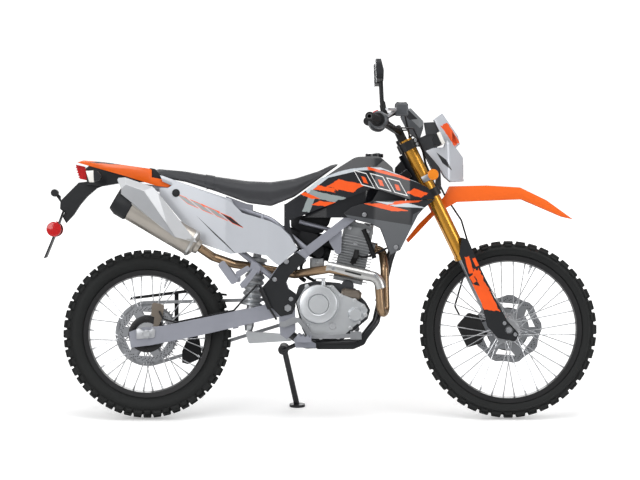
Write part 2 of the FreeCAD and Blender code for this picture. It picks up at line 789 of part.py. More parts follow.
def main_frame():
    half = cell("frame_half_width")
    head, bore = head_tube()
    spar = spar_bar(0)
    gusset = slab(fork_points((-12, 620), (-12, 760), (-60, 740), (-90, 690), (-60, 610)), -14, 14)
    bracket = slab([(685, 684), (728, 720), (739, 708), (735, 623, 8), (718, 621, 8), (692, 664)],
                   "Sizes.fin_half + 2", "Sizes.fin_half + 8")
    frame = cut(fuse(head, gusset, spar, mirror(spar), pair(bracket)), bore)
    node("main_frame", frame)
    down = fork_space(-22, 0, 640)
    radius = "Sizes.frame_tube_radius"
    front = tube([(down[0] - 6, 0, down[2] - 14), (918, 0, 600), (880, 0, 440)],
                 "Sizes.frame_tube_radius + 2", 60)
    line = half - cell("frame_tube_radius")
    rails = [cradle_rail(side, line, radius) for side in (-1, 1)]
    cross = pin((562, 304), -line, line, "Sizes.frame_tube_radius - 3")
    mounts = pair(slab([(640, 280), (730, 280), (730, 300), (640, 300)],
                       cell("case_half_width") - 13.8, 84))
    keep = fork_rod(0, 0, 560, 800, "Sizes.head_tube_radius + 0.1")
    web = slab(fork_points((-12, 620), (-12, 760), (-60, 740), (-90, 690), (-60, 610)), -14.2, 14.2)
    node("frame_cradle", cut(fuse(front, *rails, cross, mounts, stand_bracket()), keep, web))
    guard = slab([(643, 262), (651, 279), (790, 281), (838, 338), (852, 336), (824, 280, 20),
                  (782, 262, 20)], line - 6, line + 19)
    room = cradle_rail(1, line, "Sizes.frame_tube_radius + 0.3")
    node("cradle_guards", pair(cut(guard, room)))
    pivot_frames(half)


def cradle_rail(side, line, radius):
    return tube([(890, side * 14, 470), (868, side * 62, 366), (806, side * line, 286),
                 (598, side * line, 277), (528, side * line, 330)], radius, 40)


def pivot_frames(half):
    """The upright plates that carry the swingarm's pivot, their covers, and the rails."""
    plate = [(593, 642), (613, 616), (596, 593), (540, 540), (528, 514), (537, 490), (560, 470),
             (562, 330), (530, 300), (505, 318), (500, 386), (478, 418), (440, 480), (470, 540),
             (500, 580), (566, 630)]
    inner = half + 0.1
    cover = [(568, 629), (599, 605), (596, 593), (540, 540), (527, 514), (535, 491), (564, 470),
             (562, 420), (550, 396), (506, 386), (477, 415), (448, 433), (434, 480), (440, 500),
             (471, 535), (500, 578)]
    steel = slab(plate, inner, inner + 8)
    bolt = pin(PIVOT, -half - 8, half + 8, "Sizes.pivot_radius")
    node("pivot_frames", fuse(steel, mirror(steel), bolt))
    node("pivot_covers", pair(slab(cover, inner + 8.2, inner + 13)))


def subframe():
    rails = []
    for side in (-1, 1):
        upper = tube([(618, side * 86, 629), (470, side * 80, 752), (200, side * 66, 846),
                      (-60, side * 62, 884)], "Sizes.rail_radius", 120)
        lower = tube([(484, side * 87, 526), (359, side * 86, 627), (120, side * 66, 846)],
                     "Sizes.rail_radius", 60)
        rails += [upper, lower]
    cross = [pin((x, z), -60, 60, 9) for x, z in ((200, 848), (-40, 881))]
    reach = cell("frame_half_width") - 0.1
    brace = pin((484, 526), -reach, reach, 9)
    mount = pin((420, 640), -86, 86, 9)
    tie = [pin((420, 640), side * 84 - 9, side * 84 + 9, 14) for side in (-1, 1)]
    links = [rod((420, side * 84, 640), (440, side * 81, 772), 9) for side in (-1, 1)]
    pads = pair(slab([(300, 811), (400, 777), (400, 809), (380, 811.7), (300, 841)], 64, 84))
    spar = spar_bar(0.2)
    node("subframe", cut(fuse(*rails, *cross, brace, mount, *tie, *links, pads), spar, mirror(spar)))


def swingarm():
    inner = cell("arm_inner")
    thick = cell("arm_thick")
    low, high = "Sizes.arm_inner", "Sizes.arm_inner + Sizes.arm_thick"
    ahead, up = PIVOT
    outline = [(-67, 327), (-60, 268), (20, 278), (200, 314), (ahead - 77, up - 44),
               (ahead + 14, up - 22, 8), (ahead + 22, up + 18, 8), (ahead - 34, up + 26),
               (ahead - 106, up + 7), (60, 350), (-20, 344)]
    arm = slab(outline, low, high, [round_outline((0, REAR_R), cell("axle_radius") + 0.3, 20)])
    tube_bore = pin(PIVOT, -200, 200, "Sizes.pivot_radius + 0.1")
    barrel = pin(PIVOT, -inner - thick, inner + thick, 22)
    bridge = slab([(326, 338), (346, 342), (346, 400), (326, 396)], -inner - 4, inner + 4)
    node("swingarm", cut(fuse(arm, mirror(arm), barrel, bridge), tube_bore))


def chain_run():
    """The chain's line round both sprockets, as bends of centre, radius, first and last angle."""
    rear = (0, REAR_R)
    big, small = cell("sprocket_radius"), DRIVE_RADIUS
    span = math.hypot(DRIVE[0] - rear[0], DRIVE[1] - rear[1])
    slope = math.atan2(DRIVE[1] - rear[1], DRIVE[0] - rear[0])
    lean = math.acos((big - small) / span)
    return ((DRIVE, small, slope - lean, slope + lean),
            (rear, big, slope + lean, slope - lean + math.tau))


def chain_loop(grow):
    """An outline beside the chain's line, wide at the links' ends and narrow between them."""
    waist = math.copysign(cell("link_waist"), grow)
    spots = []
    for centre, radius, first, last in chain_run():
        steps = 64
        for i in range(steps + 1):
            angle = first + (last - first) * i / steps
            spots.append((Vector(centre[0] + radius * math.cos(angle),
                                 centre[1] + radius * math.sin(angle), 0),
                          Vector(math.cos(angle), math.sin(angle), 0)))
    line = [(*here, *after) for here, after in zip(spots, [*spots[1:], spots[0]])]
    total = sum((far - near).Length for near, _, far, _ in line)
    count = int(cell("link_count")) * 2
    corners = []
    walked = 0
    for near, normal, far, next_normal in line:
        length = (far - near).Length
        while len(corners) < count and total * len(corners) / count < walked + length:
            share = (total * len(corners) / count - walked) / length
            out = normal + (next_normal - normal) * share
            reach = grow - (waist if len(corners) % 2 else 0)
            spot = near + (far - near) * share + out * reach
            corners.append((spot.x, spot.y))
        walked += length
    return corners


def chain():
    """Two rows of link plates round both sprockets, joined by the rollers of the free runs."""
    line = cell("chain_line")
    height = cell("plate_height") / 2
    half = cell("sprocket_thick") / 2 + 2
    thick = cell("plate_thick") * 2
    plates = [slab(chain_loop(height), low, low + thick, [chain_loop(-height)])
              for low in (line - half - thick, line + half)]
    rollers = []
    (_, small, *turns), (rear, big, *_) = chain_run()
    for angle in turns:
        normal = Vector(math.cos(angle), math.sin(angle), 0)
        start = Vector(*rear, 0) + normal * big
        end = Vector(*DRIVE, 0) + normal * small
        for share in (0.45, 0.65, 0.85):
            spot = start + (end - start) * share
            rollers.append(slab(round_outline((spot.x, spot.y), cell("roller_radius"), 6),
                                line - half - 1, line + half + 1))
    node("chain", fuse(*plates, *rollers))


def drive_sprocket():
    """The small sprocket on the gearbox shaft, which carries the chain's front bend."""
    line = cell("chain_line")
    half = cell("sprocket_thick") / 2
    wheel = pin(DRIVE, line - half, line + half, DRIVE_RADIUS - cell("roller_radius") - 0.1)
    seat = pin(DRIVE, line - half - 1.9, line + half + 1.9, DRIVE_RADIUS - cell("plate_height") / 2 - 2)
    boss = pin(DRIVE, line - 20, line + 8, 16)
    return fuse(wheel, seat, boss)


def linkage_and_shock():
    low, high = (384, 0, 330), (420, 0, 640)
    length = (Vector(*high) - Vector(*low)).Length
    coils = []
    count = 7
    start, pitch = 110, 22
    for i in range(count):
        coils += [(30, start + pitch * i), (38, start + pitch * (i + 0.3)),
                  (38, start + pitch * (i + 0.6))]
    profile = [(0, 0), (14, 0), (18, 20), (18, 96), (40, 98), (40, 106), *coils,
               (30, start + pitch * count), (40, start + pitch * count + 2), (40, length - 34),
               (16, length - 30), (16, length - 9.3), (0, length - 9.3)]
    damper = spindle(low, high, profile)
    link = slab([(384, 282, 10), (547, 292), (550.8, 304), (547, 316), (396, 328), (372, 330, 8)],
                -24, 24)
    node("rear_shock", fuse(link, damper))


def pegs():
    half = cell("frame_half_width")
    reach = cell("peg_reach")
    shapes = []
    for side in (-1, 1):
        low, high = sorted((side * (half + 0.2), side * (half + 22)))
        mount = slab([(564, 268), (640, 268), (640, 284), (604, 302), (576, 322), (556, 300)],
                     low, high)
        low, high = sorted((side * (half + 22), side * reach))
        teeth = [(x, 318) if i % 2 else (x, 308) for i, x in enumerate(range(568, 626, 8))]
        tread = slab([(568, 290), (622, 290), *reversed(teeth)], low, high)
        near, far = (16, 8) if side > 0 else (8, 16)
        hollow = slab([(577, 250), (613, 250), (613, 350), (577, 350)], low + near, high - far)
        shapes.append(fuse(mount, cut(tread, hollow)))
    passenger = []
    for side in (-1, 1):
        low, high = sorted((side * 118, side * 132))
        arms = [slab([(396, 566), (382, 578), (338, 556), (338, 536), (352, 536)], low, high),
                slab([(420, 556), (404, 566), (352, 508), (360, 492), (376, 498)], low, high)]
        low, high = sorted((side * 132.2, side * 150))
        peg = slab([(268, 582, 10), (292, 600, 10), (348, 524, 10), (324, 504, 10)], low, high)
        low, high = sorted((side * 98.2, side * 119))
        foot = slab([(386, 556), (424, 548), (432, 570), (420, 586), (398, 598)], low, high)
        low, high = sorted((side * 131, side * 133))
        hinge = slab([(338, 536), (352, 536), (352, 516), (338, 516)], low, high)
        passenger.append(fuse(*arms, peg, foot, hinge))
    node("foot_pegs", group(*shapes, *passenger))


def pedals():
    half = cell("frame_half_width")
    lever = slab([(505, 352), (516, 366), (555, 384), (580, 380), (602, 356), (620, 326),
                  (700, 318), (780, 322), (780, 306), (690, 302), (612, 306), (592, 340),
                  (572, 364), (520, 344)], -half - 21.5, -half - 13.5)
    pad = slab([(770, 300), (812, 300), (812, 330), (770, 330)], -half - 52, -half - 13.5)
    boss = pin((514, 357), -half - 24, -half - 8.3, 11)
    pedal = fuse(lever, pad, boss)
    shaft = pin((640, 380), cell("case_half_width") + 8.2, half + 40, 8)
    arm = slab([(632, 370), (644, 392), (800, 342), (800, 328)], half + 26, half + 36)
    toe = pin((796, 335), half + 26, half + 70, 11)
    node("foot_levers", group(pedal, fuse(shaft, arm, toe)))


def rear_brake_line():
    """The rear brake's master cylinder and its hose, which lies along the swingarm."""
    side = -cell("frame_half_width") - 22.5
    top = (432, side, 492)
    master = rod(top, (466, side, 415), 9)
    push = rod((466, side, 415), (492, side, 374), 4)
    line = -cell("arm_inner") - cell("arm_thick") / 2
    mouth = -cell("arm_inner") - 0.1
    ahead, up = PIVOT
    slope = (up + 7 - 350) / (ahead - 106 - 60)
    on_arm = [(x, line, 350 + slope * (x - 60) + 3.8) for x in (330, 110)]
    hose = tube([top, (424, side, 511), (384, side + 8, 470), *on_arm, (62, line - 2, 376),
                 (48, line - 2, 404), (48, mouth, 404)], 3.5, 7)
    node("rear_brake_line", fuse(master, push, hose))


# Engine and exhaust

def engine():
    half = cell("case_half_width")
    outline = [(560, 452, 30), (587, 340), (604, 306), (622, 294), (738, 294), (786, 334),
               (836, 376), (846, 410), (830, 440), (800, 470), (730, 512), (640, 520), (575, 505, 20)]
    case = slab(outline, "-Sizes.case_half_width + 14", "Sizes.case_half_width - 14")
    cover = [(566, 440), (588, 372), (606, 316), (624, 302), (732, 302), (776, 342), (826, 382),
             (836, 410), (824, 430), (790, 450), (735, 470), (704, 505), (600, 498)]
    right = slab(cover, "-Sizes.case_half_width - 16", "-Sizes.case_half_width + 13.8")
    left = slab([(654, 330), (700, 306), (790, 350), (830, 400), (800, 450), (700, 480), (654, 460)],
                "Sizes.case_half_width - 13.8", "Sizes.case_half_width + 8")
    turned = half + 16
    clutch = lathe((651, 432), [(0, -turned - 30), (36, -turned - 30), (38, -turned - 24),
                                (60, -turned - 24, 6), (75, -turned + 0.2), (0, -turned + 0.2)])
    filter_cap = lathe((789, 393), [(0, -turned - 16), (22, -turned - 16), (29, -turned + 0.2),
                                    (0, -turned + 0.2)])
    node("clutch_cover", fuse(right, clutch, filter_cap))
    magneto = lathe((728, 398), [(0, half + 32), (50, half + 32, 8), (66, half + 20), (70, half + 7.8),
                                 (0, half + 7.8)])
    guard = slab([(572, 400), (590, 370), (660, 366), (664, 470), (600, 474), (574, 450)],
                 half - 0.1, half + 8)
    node("magneto_cover", fuse(left, magneto, guard))
    starter = fuse(pin((760, 500), -70, 30, 24),
                   slab([(735, 470), (800, 474), (790, 492), (740, 492)], -40, 20))
    room = slab([(540, 350), (652, 350), (652, 486), (540, 486)], cell("chain_line") - 14, half + 1)
    node("engine_case", fuse(cut(case, room), starter, drive_sprocket()))


def cylinder():
    half = cell("cylinder_half")
    fin = cell("fin_half")
    thick = cell("fin_thick")
    pitch = cell("fin_pitch")
    barrel = slab(cylinder_box(-half, half, 118, 330), -half, half)
    fins = []
    count = 15
    for i in range(count):
        low = 128 + pitch * i
        reach = fin if i < 10 else fin - 6
        fins.append(slab(cylinder_box(-reach, reach, low, low + thick), -reach, reach))
    cover = slab([cylinder_point(a, u) for a, u in
                  ((-58, 316), (58, 316), (52, 336), (20, 348), (-40, 348), (-56, 334))], -48, 48)
    caps = [spindle((*cylinder_point(a, 330)[:1], y, cylinder_point(a, 330)[1]),
                    (cylinder_point(a, 352)[0], y, cylinder_point(a, 352)[1]),
                    [(0, 0), (20, 0), (20, 18), (15, 22), (0, 22)]) for a, y in ((34, 0), (-34, 0))]
    ports = []
    for near, far, up in ((half - 2, fin + 0.8, 262), (-half + 2, -fin - 1.3, 250)):
        (x1, z1), (x2, z2) = cylinder_point(near, up), cylinder_point(far, up)
        ports.append(rod((x1, 0, z1), (x2, 0, z2), 24))
    floor = slab([(560, 300), (900, 300), (900, 440), (800, 470.2), (730, 512.2), (640, 520.2)],
                 -100, 100)
    keep_starter = pin((760, 500), -71, 31, 24.5)
    node("cylinder", cut(fuse(barrel, *fins, cover, *caps, *ports), floor, keep_starter))
    mouth = cylinder_point(-fin - 1.5, 250)
    back = cylinder_point(-fin - 215, 250)
    intake = rod((mouth[0], 0, mouth[1]), (back[0], 0, back[1]), 27)
    body = slab([(566, 640), (632, 626), (648, 696), (582, 710)], -42, 42)
    box = slab([(336, 700), (356, 656), (520, 656), (532, 720), (470, 736), (344, 774)], -66, 66)
    node("intake", fuse(intake, body, box))


def exhaust():
    port = cylinder_point(cell("fin_half") + 1, 262)
    line = -cell("muffler_line")
    bend = cylinder_point(cell("fin_half") + 31, 262)
    route = [(port[0], 0, port[1]), (bend[0], 0, bend[1]), (900, -66, 570),
             (904, -70, 400), (886, -118, 400), (876, -122, 530), (690, -124, 566),
             (560, -60, 545), (400, -58, 574), (330, -70, 584), (250, -110, 612),
             (196, line, 650)]
    pipe = tube(route, "Sizes.header_radius", 24)
    seat = cylinder_point(cell("fin_half") + 9, 262)
    node("exhaust_header", fuse(pipe, rod(route[0], (seat[0], 0, seat[1]), 24)))
    shield = slab([(669, 577), (673, 589), (699, 593), (844, 557), (874, 541), (903, 507),
                   (898, 490), (881, 486), (849, 502), (692, 546), (675, 558)], -144.2, -140.2,
                  [[(742, 549), (746, 557), (806, 541), (802, 533)]])
    radius = cell("muffler_radius")
    start, end = (182, line, 658), (-112, line, 831)
    length = (Vector(*end) - Vector(*start)).Length
    profile = [(0, -22), (26, -22), (30, -6), (44, 0), (radius, 6), (radius, length - 10),
               (radius - 16, length + 4), (0, length + 4)]
    can = spindle(start, end, profile)
    node("muffler", cut(can, tube(route, "Sizes.header_radius + 0.2", 24)))
    cover = [(-102, 902), (-65, 910), (-1, 892), (42, 855), (150, 720), (194, 663), (117, 684),
             (79, 708), (-70, 823), (-97, 860)]
    ring = [(radius + 0.2, 10), (radius + 4.2, 10), (radius + 4.2, length - 12),
            (radius + 0.2, length - 12)]
    shell = common(slab(cover, line - 80, line + 10), spindle(start, end, ring))
    node("exhaust_shields", group(shell, shield))


# Bodywork and lamps

def fuel_tank():
    half = cell("tank_half_width")
    side = [(600, 760), (590, 846), (640, 890), (730, 952), (790, 990, 60), (880, 994, 40),
            (930, 950), (950, 880), (905, 850), (860, 800), (780, 760)]
    outline = [(560, -half * 0.6), (680, -half), (820, -half, 60), (960, -half * 0.38),
               (960, half * 0.38), (820, half, 60), (680, half), (560, half * 0.6)]
    body = common(slab(side, -half, half), plan(outline))
    roof = across([(-half - 5, 700), (half + 5, 700), (half + 5, 900), (half * 0.55, 1000, 30),
                   (-half * 0.55, 1000, 30), (-half - 5, 900)], 500, 600)
    spars = frame_keepout(0.2)
    tank = cut(common(body, roof), *spars)
    cap = lathe_up((862, 0, 988), [(0, 0), (34, 0), (34, 14), (22, 18), (0, 18)])
    node("fuel_tank", fuse(tank, cap))


def lathe_up(base, profile):
    """A turned piece about an upright axis; its profile is radius and height."""
    sketch = doc.addObject("Sketcher::SketchObject", "TurnedProfile")
    sketch.Placement = Placement(Vector(0, 0, 0), Rotation(Vector(1, 0, 0), 90))
    add_loop(sketch, profile)
    turn = doc.addObject("Part::Revolution", "Turned")
    turn.Source = sketch
    turn.Axis = Vector(0, 0, 1)
    turn.Angle = 360
    turn.Solid = True
    turn.Placement = Placement(Vector(*base), Rotation())
    return turn


def spar_bar(gap):
    """The left spar, or with a gap the room it needs."""
    half = cell("frame_half_width")
    thick = cell("spar_thick")
    top = fork_point(-20, 700)
    low = (594, 622)
    run = Vector(top[0] - low[0], 0, top[1] - low[1]).normalize()
    reach = cell("spar_depth") / 2 + gap
    up = (-run.z * reach, run.x * reach)
    band = [(low[0] - up[0], low[1] - up[1]), (top[0] - up[0], top[1] - up[1]),
            (top[0] + up[0], top[1] + up[1]), (low[0] + up[0], low[1] + up[1])]
    shape = [(top[0] + 30, 10 - gap), (top[0] + 30, 36 + gap), (top[0] - 30, 38 + gap),
             (top[0] - 170, half - 12 + gap, 60), (low[0] - 60, half + gap),
             (low[0] - 60, half - thick - gap), (top[0] - 180, half - 12 - thick - gap, 60),
             (top[0] - 30, 12 - gap)]
    return common(slab(band, -10, 160), plan(shape))


def frame_keepout(gap):
    """Room for the spars and the head, with a gap round them."""
    spar = spar_bar(gap)
    web = slab(fork_points((0, 600), (0, 780), (-70, 750), (-100, 690), (-70, 600)),
               -14 - gap, 14 + gap)
    return [spar, mirror(spar), web]


def shrouds():
    """The upper panels beside the tank, wide at the front."""
    wall = cell("panel_wall")
    half = cell("shroud_half_width")
    side = [(657, 907), (727, 934), (771, 944), (836, 951), (884, 949), (958, 920), (1028, 890),
            (1063, 872), (1089, 829), (1000, 826), (884, 864), (849, 870), (814, 855), (540, 750),
            (542, 724), (553, 693), (581, 650), (574, 643), (544, 694), (509, 728), (465, 751),
            (363, 781), (320, 823), (438, 787), (526, 812), (589, 853)]
    edge = [(1100, half), (1000, half - 2, 60), (860, half - 36, 80), (560, 112), (520, 108)]
    inner = [(x, y - wall, *r) for x, y, *r in reversed(edge)]
    shell = common(slab(side, 60, half + 20), plan([*edge, *inner]))
    bolts = [pin((700, 880), "Sizes.tank_half_width + 0.2", 121, 7), pin((880, 900), 76.8, 132, 7)]
    node("tank_shrouds", pair(fuse(shell, *bolts)))
    low = [(745, 776), (775, 800), (854, 822), (1000, 824), (1086, 826), (1046, 794), (1024, 768),
           (993, 707), (958, 637), (941, 630), (923, 620), (915, 637), (897, 689), (884, 720),
           (849, 737), (762, 759)]
    edge = [(1100, half - 6), (1000, half - 8, 60), (860, half - 43, 80), (700, 118)]
    inner = [(x, y - wall, *r) for x, y, *r in reversed(edge)]
    scoop = common(slab(low, 60, half + 20), plan([*edge, *inner]))
    stay = pin((937, 647), 16.6, 146, 6)
    node("shroud_scoops", pair(fuse(scoop, stay)))


def side_panels():
    wall = cell("panel_wall")
    half = cell("side_panel_half_width")
    side = [(58, 919), (318, 821), (363, 777), (465, 747), (508, 724), (542, 691), (572, 641),
            (501, 579), (485, 588), (454, 616), (382, 629), (318, 623), (199, 664), (48, 847),
            (48, 872), (79, 871), (94, 881)]
    edge = [(600, half - 10), (460, half, 80), (300, half - 4, 80), (40, cell("tail_half_width"))]
    inner = [(x, y - wall, *r) for x, y, *r in reversed(edge)]
    shell = common(slab(side, 40, half + 30), plan([*edge, *inner]))
    bolts = [pin((528, 594), cell("frame_half_width") + 13.3, 120, 7), pin((300, 809), 84.2, 122, 7)]
    node("side_panels", pair(fuse(shell, *bolts)))


def seat():
    half = cell("seat_half_width")
    stations = [(20, 0.7, 913, 944), (142, 0.8, 893, 933), (260, 0.98, 856, 913),
                (380, 1.0, 812, 896), (470, 0.98, 800, 892), (560, 0.9, 836, 905),
                (650, 0.74, 902, 934), (728, 0.5, 958, 971)]
    sections = []
    for x, share, low, high in stations:
        wide = half * share
        crown = (high - low) * 0.35
        sections.append((x, [(-wide + 4, low), (wide - 4, low), (wide, high - crown),
                             (wide * 0.8, high - crown * 0.2), (wide * 0.35, high),
                             (-wide * 0.35, high), (-wide * 0.8, high - crown * 0.2),
                             (-wide, high - crown)]))
    node("seat", loft(sections))


def tail():
    wall = cell("panel_wall")
    half = cell("tail_half_width")
    side = [(-265, 969), (-241, 977), (-161, 970), (13, 945), (53, 917), (91, 884), (79, 874),
            (36, 880), (-81, 917), (-219, 956)]
    edge = [(120, -half), (10, -half), (-150, -half * 0.8), (-272, -half * 0.55, 16),
            (-272, half * 0.55, 16), (-150, half * 0.8), (10, half), (120, half)]
    body = common(slab(side, -half, half), plan(edge))
    inside = [(14, -half + wall), (-150, -half * 0.8 + wall), (-262, -half * 0.5),
              (-262, half * 0.5), (-150, half * 0.8 - wall), (14, half - wall), (200, half - wall),
              (200, -half + wall)]
    lower = slab([(-300, 940), (-230, 966), (-161, 964), (2, 940), (14, 930), (200, 1000), (200, 820),
                  (-300, 820)], -half, half)
    under_seat = slab([(19, 1000), (19, 912), (142, 891.5), (200, 870), (200, 1000)],
                      -half - 1, half + 1)
    node("tail_cover", cut(body, common(lower, plan(inside)), under_seat))
    under = [(-232, 948), (-210, 963.8), (-161, 963.8), (0, 940), (0, 896), (-105, 891), (-169, 880),
             (-228, 884)]
    bed = common(slab(under, -half * 0.75 + 5, half * 0.75 - 5),
                 plan([(40, -half * 0.7), (-150, -half * 0.7), (-240, -half * 0.44),
                       (-240, half * 0.44), (-150, half * 0.7), (40, half * 0.7)]))
    arm = slab([(-160, 884), (-191, 872), (-228, 840), (-255, 808), (-279, 771), (-308, 740),
                (-321, 763), (-313, 779), (-331, 793), (-329, 824), (-260, 893), (-200, 900)], -34, 34)
    flap = slab([(-352, 700), (-345, 704), (-383, 610), (-391, 606)], -70, 70)
    plate = slab([(-321, 784), (-316, 788), (-345, 704), (-352, 700)], -60, 60)
    lamp_tube = fuse(pin((-352, 854), -34, 34, 14),
                     slab([(-352, 862), (-330, 842), (-328, 816), (-345, 840)], -14, 14))
    node("rear_fender", cut(fuse(bed, arm, plate, flap, lamp_tube),
                            pin((-40, 881), -80, 80, 9.3), keep_rail(-1), keep_rail(1)))
    lamp = slab([(-271, 961), (-255, 907), (-229.4, 902), (-232, 944), (-240, 954.5)], -38, 38)
    node("tail_light", lamp)
    signals = []
    for y in (-1, 1):
        low, high = sorted((y * 118, y * 176))
        body = slab([(-226, 936), (-205, 894), (-176, 900), (-168, 918), (-184, 934)], low, high)
        stalk = rod((-186, y * 57.1, 916), (-186, y * 122, 916), 8)
        signals.append(fuse(body, stalk))
    node("rear_signals", group(*signals))
    disc = rod((-345.3, 0, 719.1), (-354.7, 0, 722.6), 27.5)
    node("rear_reflector", disc)


def keep_rail(side):
    return tube([(618, side * 86, 629), (470, side * 80, 752), (200, side * 66, 846),
                 (-70, side * 62, 885.5)], "Sizes.rail_radius + 0.3", 120)


def small_rear_parts():
    inner = cell("arm_inner")
    disc = cell("rear_disc_radius")
    body = slab([(16, 386, 8), (60, 382), (66, 430, 10), (20, 440, 10)], -inner + 0.3, -inner + 34)
    slot = lathe((0, REAR_R), [(60, -69.5), (disc + 6, -69.5), (disc + 6, -58.5), (60, -58.5)])
    carrier = slab([(24, 348), (44, 348), (60, 384), (30, 390)], -inner + 0.3, -inner + 7)
    node("rear_caliper", cut(fuse(body, carrier), slot))
    guard = slab([(-70, 447), (-64, 458), (150, 486), (300, 470), (300, 462), (150, 474)], 61, 98)
    stays = [slab([(x, 346 + x * 0.2038 - 8), (x + 16, 349.3 + x * 0.2038 - 8), (x + 16, 474), (x, 474)],
                  92, 98) for x in (100, 250)]
    guide = slab([(130, 252), (146, 290), (196, 300), (206, 226), (152, 202), (130, 208)], 54, 86)
    tab = slab([(150, 280), (190, 288), (190, 311.8), (150, 303.8)], 82, 100)
    slot = slab([(100, 214), (100, 238), (240, 281), (240, 257)], 58.5, 81.5)
    node("chain_guards", group(fuse(guard, *stays), cut(fuse(guide, tab), slot)))


# Side stand

def stand_frame():
    """The stand's pivot, its foot's spot on the floor, and its folded direction."""
    pivot = Vector(cell("stand_forward"), cell("stand_side"), cell("stand_height"))
    down = Vector(0.20, 0.40, -0.90).normalize()
    folded = Vector(-0.975, 0.10, 0.20).normalize()
    axis = down.cross(folded).normalize()
    tilt = math.radians(cell("lean_angle"))
    floor = Vector(0, -math.sin(tilt), math.cos(tilt))
    reach = -(pivot.dot(floor) + SINK) / down.dot(floor)
    return pivot, down, folded, axis, floor, reach


def side_stand():
    pivot, down, folded, axis, floor, reach = stand_frame()
    thick = 10
    foot_centre = pivot + down * reach
    leg_end = pivot + down * (reach - thick * 0.6 / abs(down.dot(floor)))
    leg = rod(pivot + down * 16, leg_end, "Sizes.stand_radius")
    eye = rod(pivot - axis * 9, pivot + axis * 9, 19)
    foot = rod(foot_centre, foot_centre + floor * thick, 30)
    bore = rod(pivot - axis * 40, pivot + axis * 40, "Sizes.stand_pin_radius + 0.3")
    node("side_stand", cut(fuse(leg, eye, foot), bore))


def stand_bracket():
    """The pin and lug on the cradle that carry the side stand."""
    pivot, down, folded, axis, floor, reach = stand_frame()
    bolt = rod(pivot - axis * 24, pivot + axis * 14, "Sizes.stand_pin_radius")
    plate = rod(pivot - axis * 19, pivot - axis * 12, 20)
    side = cell("frame_half_width") - cell("frame_tube_radius")
    arm = rod(pivot - axis * 21, (568, side, 278), 8)
    return fuse(bolt, plate, arm)


front_wheel()
rear_wheel()
axles()
triple_clamps()
fork_legs()
fork_guards()
front_fender()
headlight_cowl()
instrument()
handlebar()
bar_pieces()
front_signals()
front_caliper()
main_frame()
subframe()
swingarm()
chain()
linkage_and_shock()
pegs()
pedals()
rear_brake_line()
engine()
cylinder()
exhaust()
fuel_tank()
shrouds()
side_panels()
seat()
tail()
small_rear_parts()
side_stand()
doc.recompute()

for item in doc.Objects:
    if {"Invalid", "Error"} & set(item.State):
        raise SystemExit("failed: %s %s" % (item.Label, item.State))
for item in NODES:
    if item.Shape.isNull() or not item.Shape.isValid() or not item.Shape.Solids:
        raise SystemExit("no valid solid: %s" % item.Label)

os.makedirs("parts", exist_ok=True)
for item in NODES:
    item.Shape.exportStep(os.path.join("parts", item.Label + ".step"))
box = FreeCAD.BoundBox()
for item in NODES:
    box.add(item.Shape.BoundBox)
print("nodes", len(NODES), box)
pivot, down, folded, axis, floor, reach = stand_frame()
turn = STANCE.Rotation
for name, point, line in (
    ("steering", fork_space(0, 0, 700), Vector(-math.sin(RAKE), 0, math.cos(RAKE))),
    ("front_wheel", (WHEELBASE, 0, FRONT_R), Vector(0, 1, 0)),
    ("rear_wheel", (0, 0, REAR_R), Vector(0, 1, 0)),
    ("side_stand", tuple(pivot), axis),
):
    print(name, STANCE.multVec(Vector(*point)) / 1000, turn.multVec(line))
for side in (-1, 1):
    near, far = (STANCE.multVec(Vector(*bar_place(side, y)))
                 for y in (cell("bar_half_width") - cell("bar_end_depth"), cell("bar_half_width")))
    print("bar end", (far + near) / 2000, (far - near).normalize(), (far - near).Length)
print("stand folds by", math.degrees(down.getAngle(folded)), "foot reach", reach)
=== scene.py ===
# %% [markdown]
# # A dual sport motorcycle on its side stand
# The CAD model gives the frame: every solid piece at its real place. This script dresses it.
# Each cell makes one piece or one finish, and prints what it made.

import json
import math

import bmesh
import bpy
from mathutils import Matrix, Vector
from mathutils.geometry import interpolate_bezier


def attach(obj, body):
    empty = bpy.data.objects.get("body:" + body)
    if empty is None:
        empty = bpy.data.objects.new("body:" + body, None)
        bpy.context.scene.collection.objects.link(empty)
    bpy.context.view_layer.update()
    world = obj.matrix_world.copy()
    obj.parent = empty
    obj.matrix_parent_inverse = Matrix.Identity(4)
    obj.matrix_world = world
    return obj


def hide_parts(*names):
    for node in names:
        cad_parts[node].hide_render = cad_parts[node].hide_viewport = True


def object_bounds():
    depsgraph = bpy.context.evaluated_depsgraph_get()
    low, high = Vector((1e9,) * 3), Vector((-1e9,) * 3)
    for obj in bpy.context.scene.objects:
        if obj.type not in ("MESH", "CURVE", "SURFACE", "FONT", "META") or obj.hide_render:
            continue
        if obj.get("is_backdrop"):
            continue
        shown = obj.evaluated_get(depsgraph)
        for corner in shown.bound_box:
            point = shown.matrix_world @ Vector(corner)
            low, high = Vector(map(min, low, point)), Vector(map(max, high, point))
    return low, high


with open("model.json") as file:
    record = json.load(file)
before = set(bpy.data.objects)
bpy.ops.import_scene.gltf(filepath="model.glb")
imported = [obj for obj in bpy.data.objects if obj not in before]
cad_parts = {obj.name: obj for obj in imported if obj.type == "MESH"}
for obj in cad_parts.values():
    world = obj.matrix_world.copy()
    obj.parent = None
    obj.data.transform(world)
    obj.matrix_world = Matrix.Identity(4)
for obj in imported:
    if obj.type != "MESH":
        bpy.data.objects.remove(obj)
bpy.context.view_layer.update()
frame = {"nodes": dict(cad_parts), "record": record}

# %% [markdown]
# ## One placement for everything
# A motorcycle is easiest to draw upright, in millimetres, with x forward from the rear axle, y to
# the rider's left and z up. The real one leans on its stand. So pieces are drawn upright, and one
# matrix leans them over. Moving each finished object instead would break patterns on it.

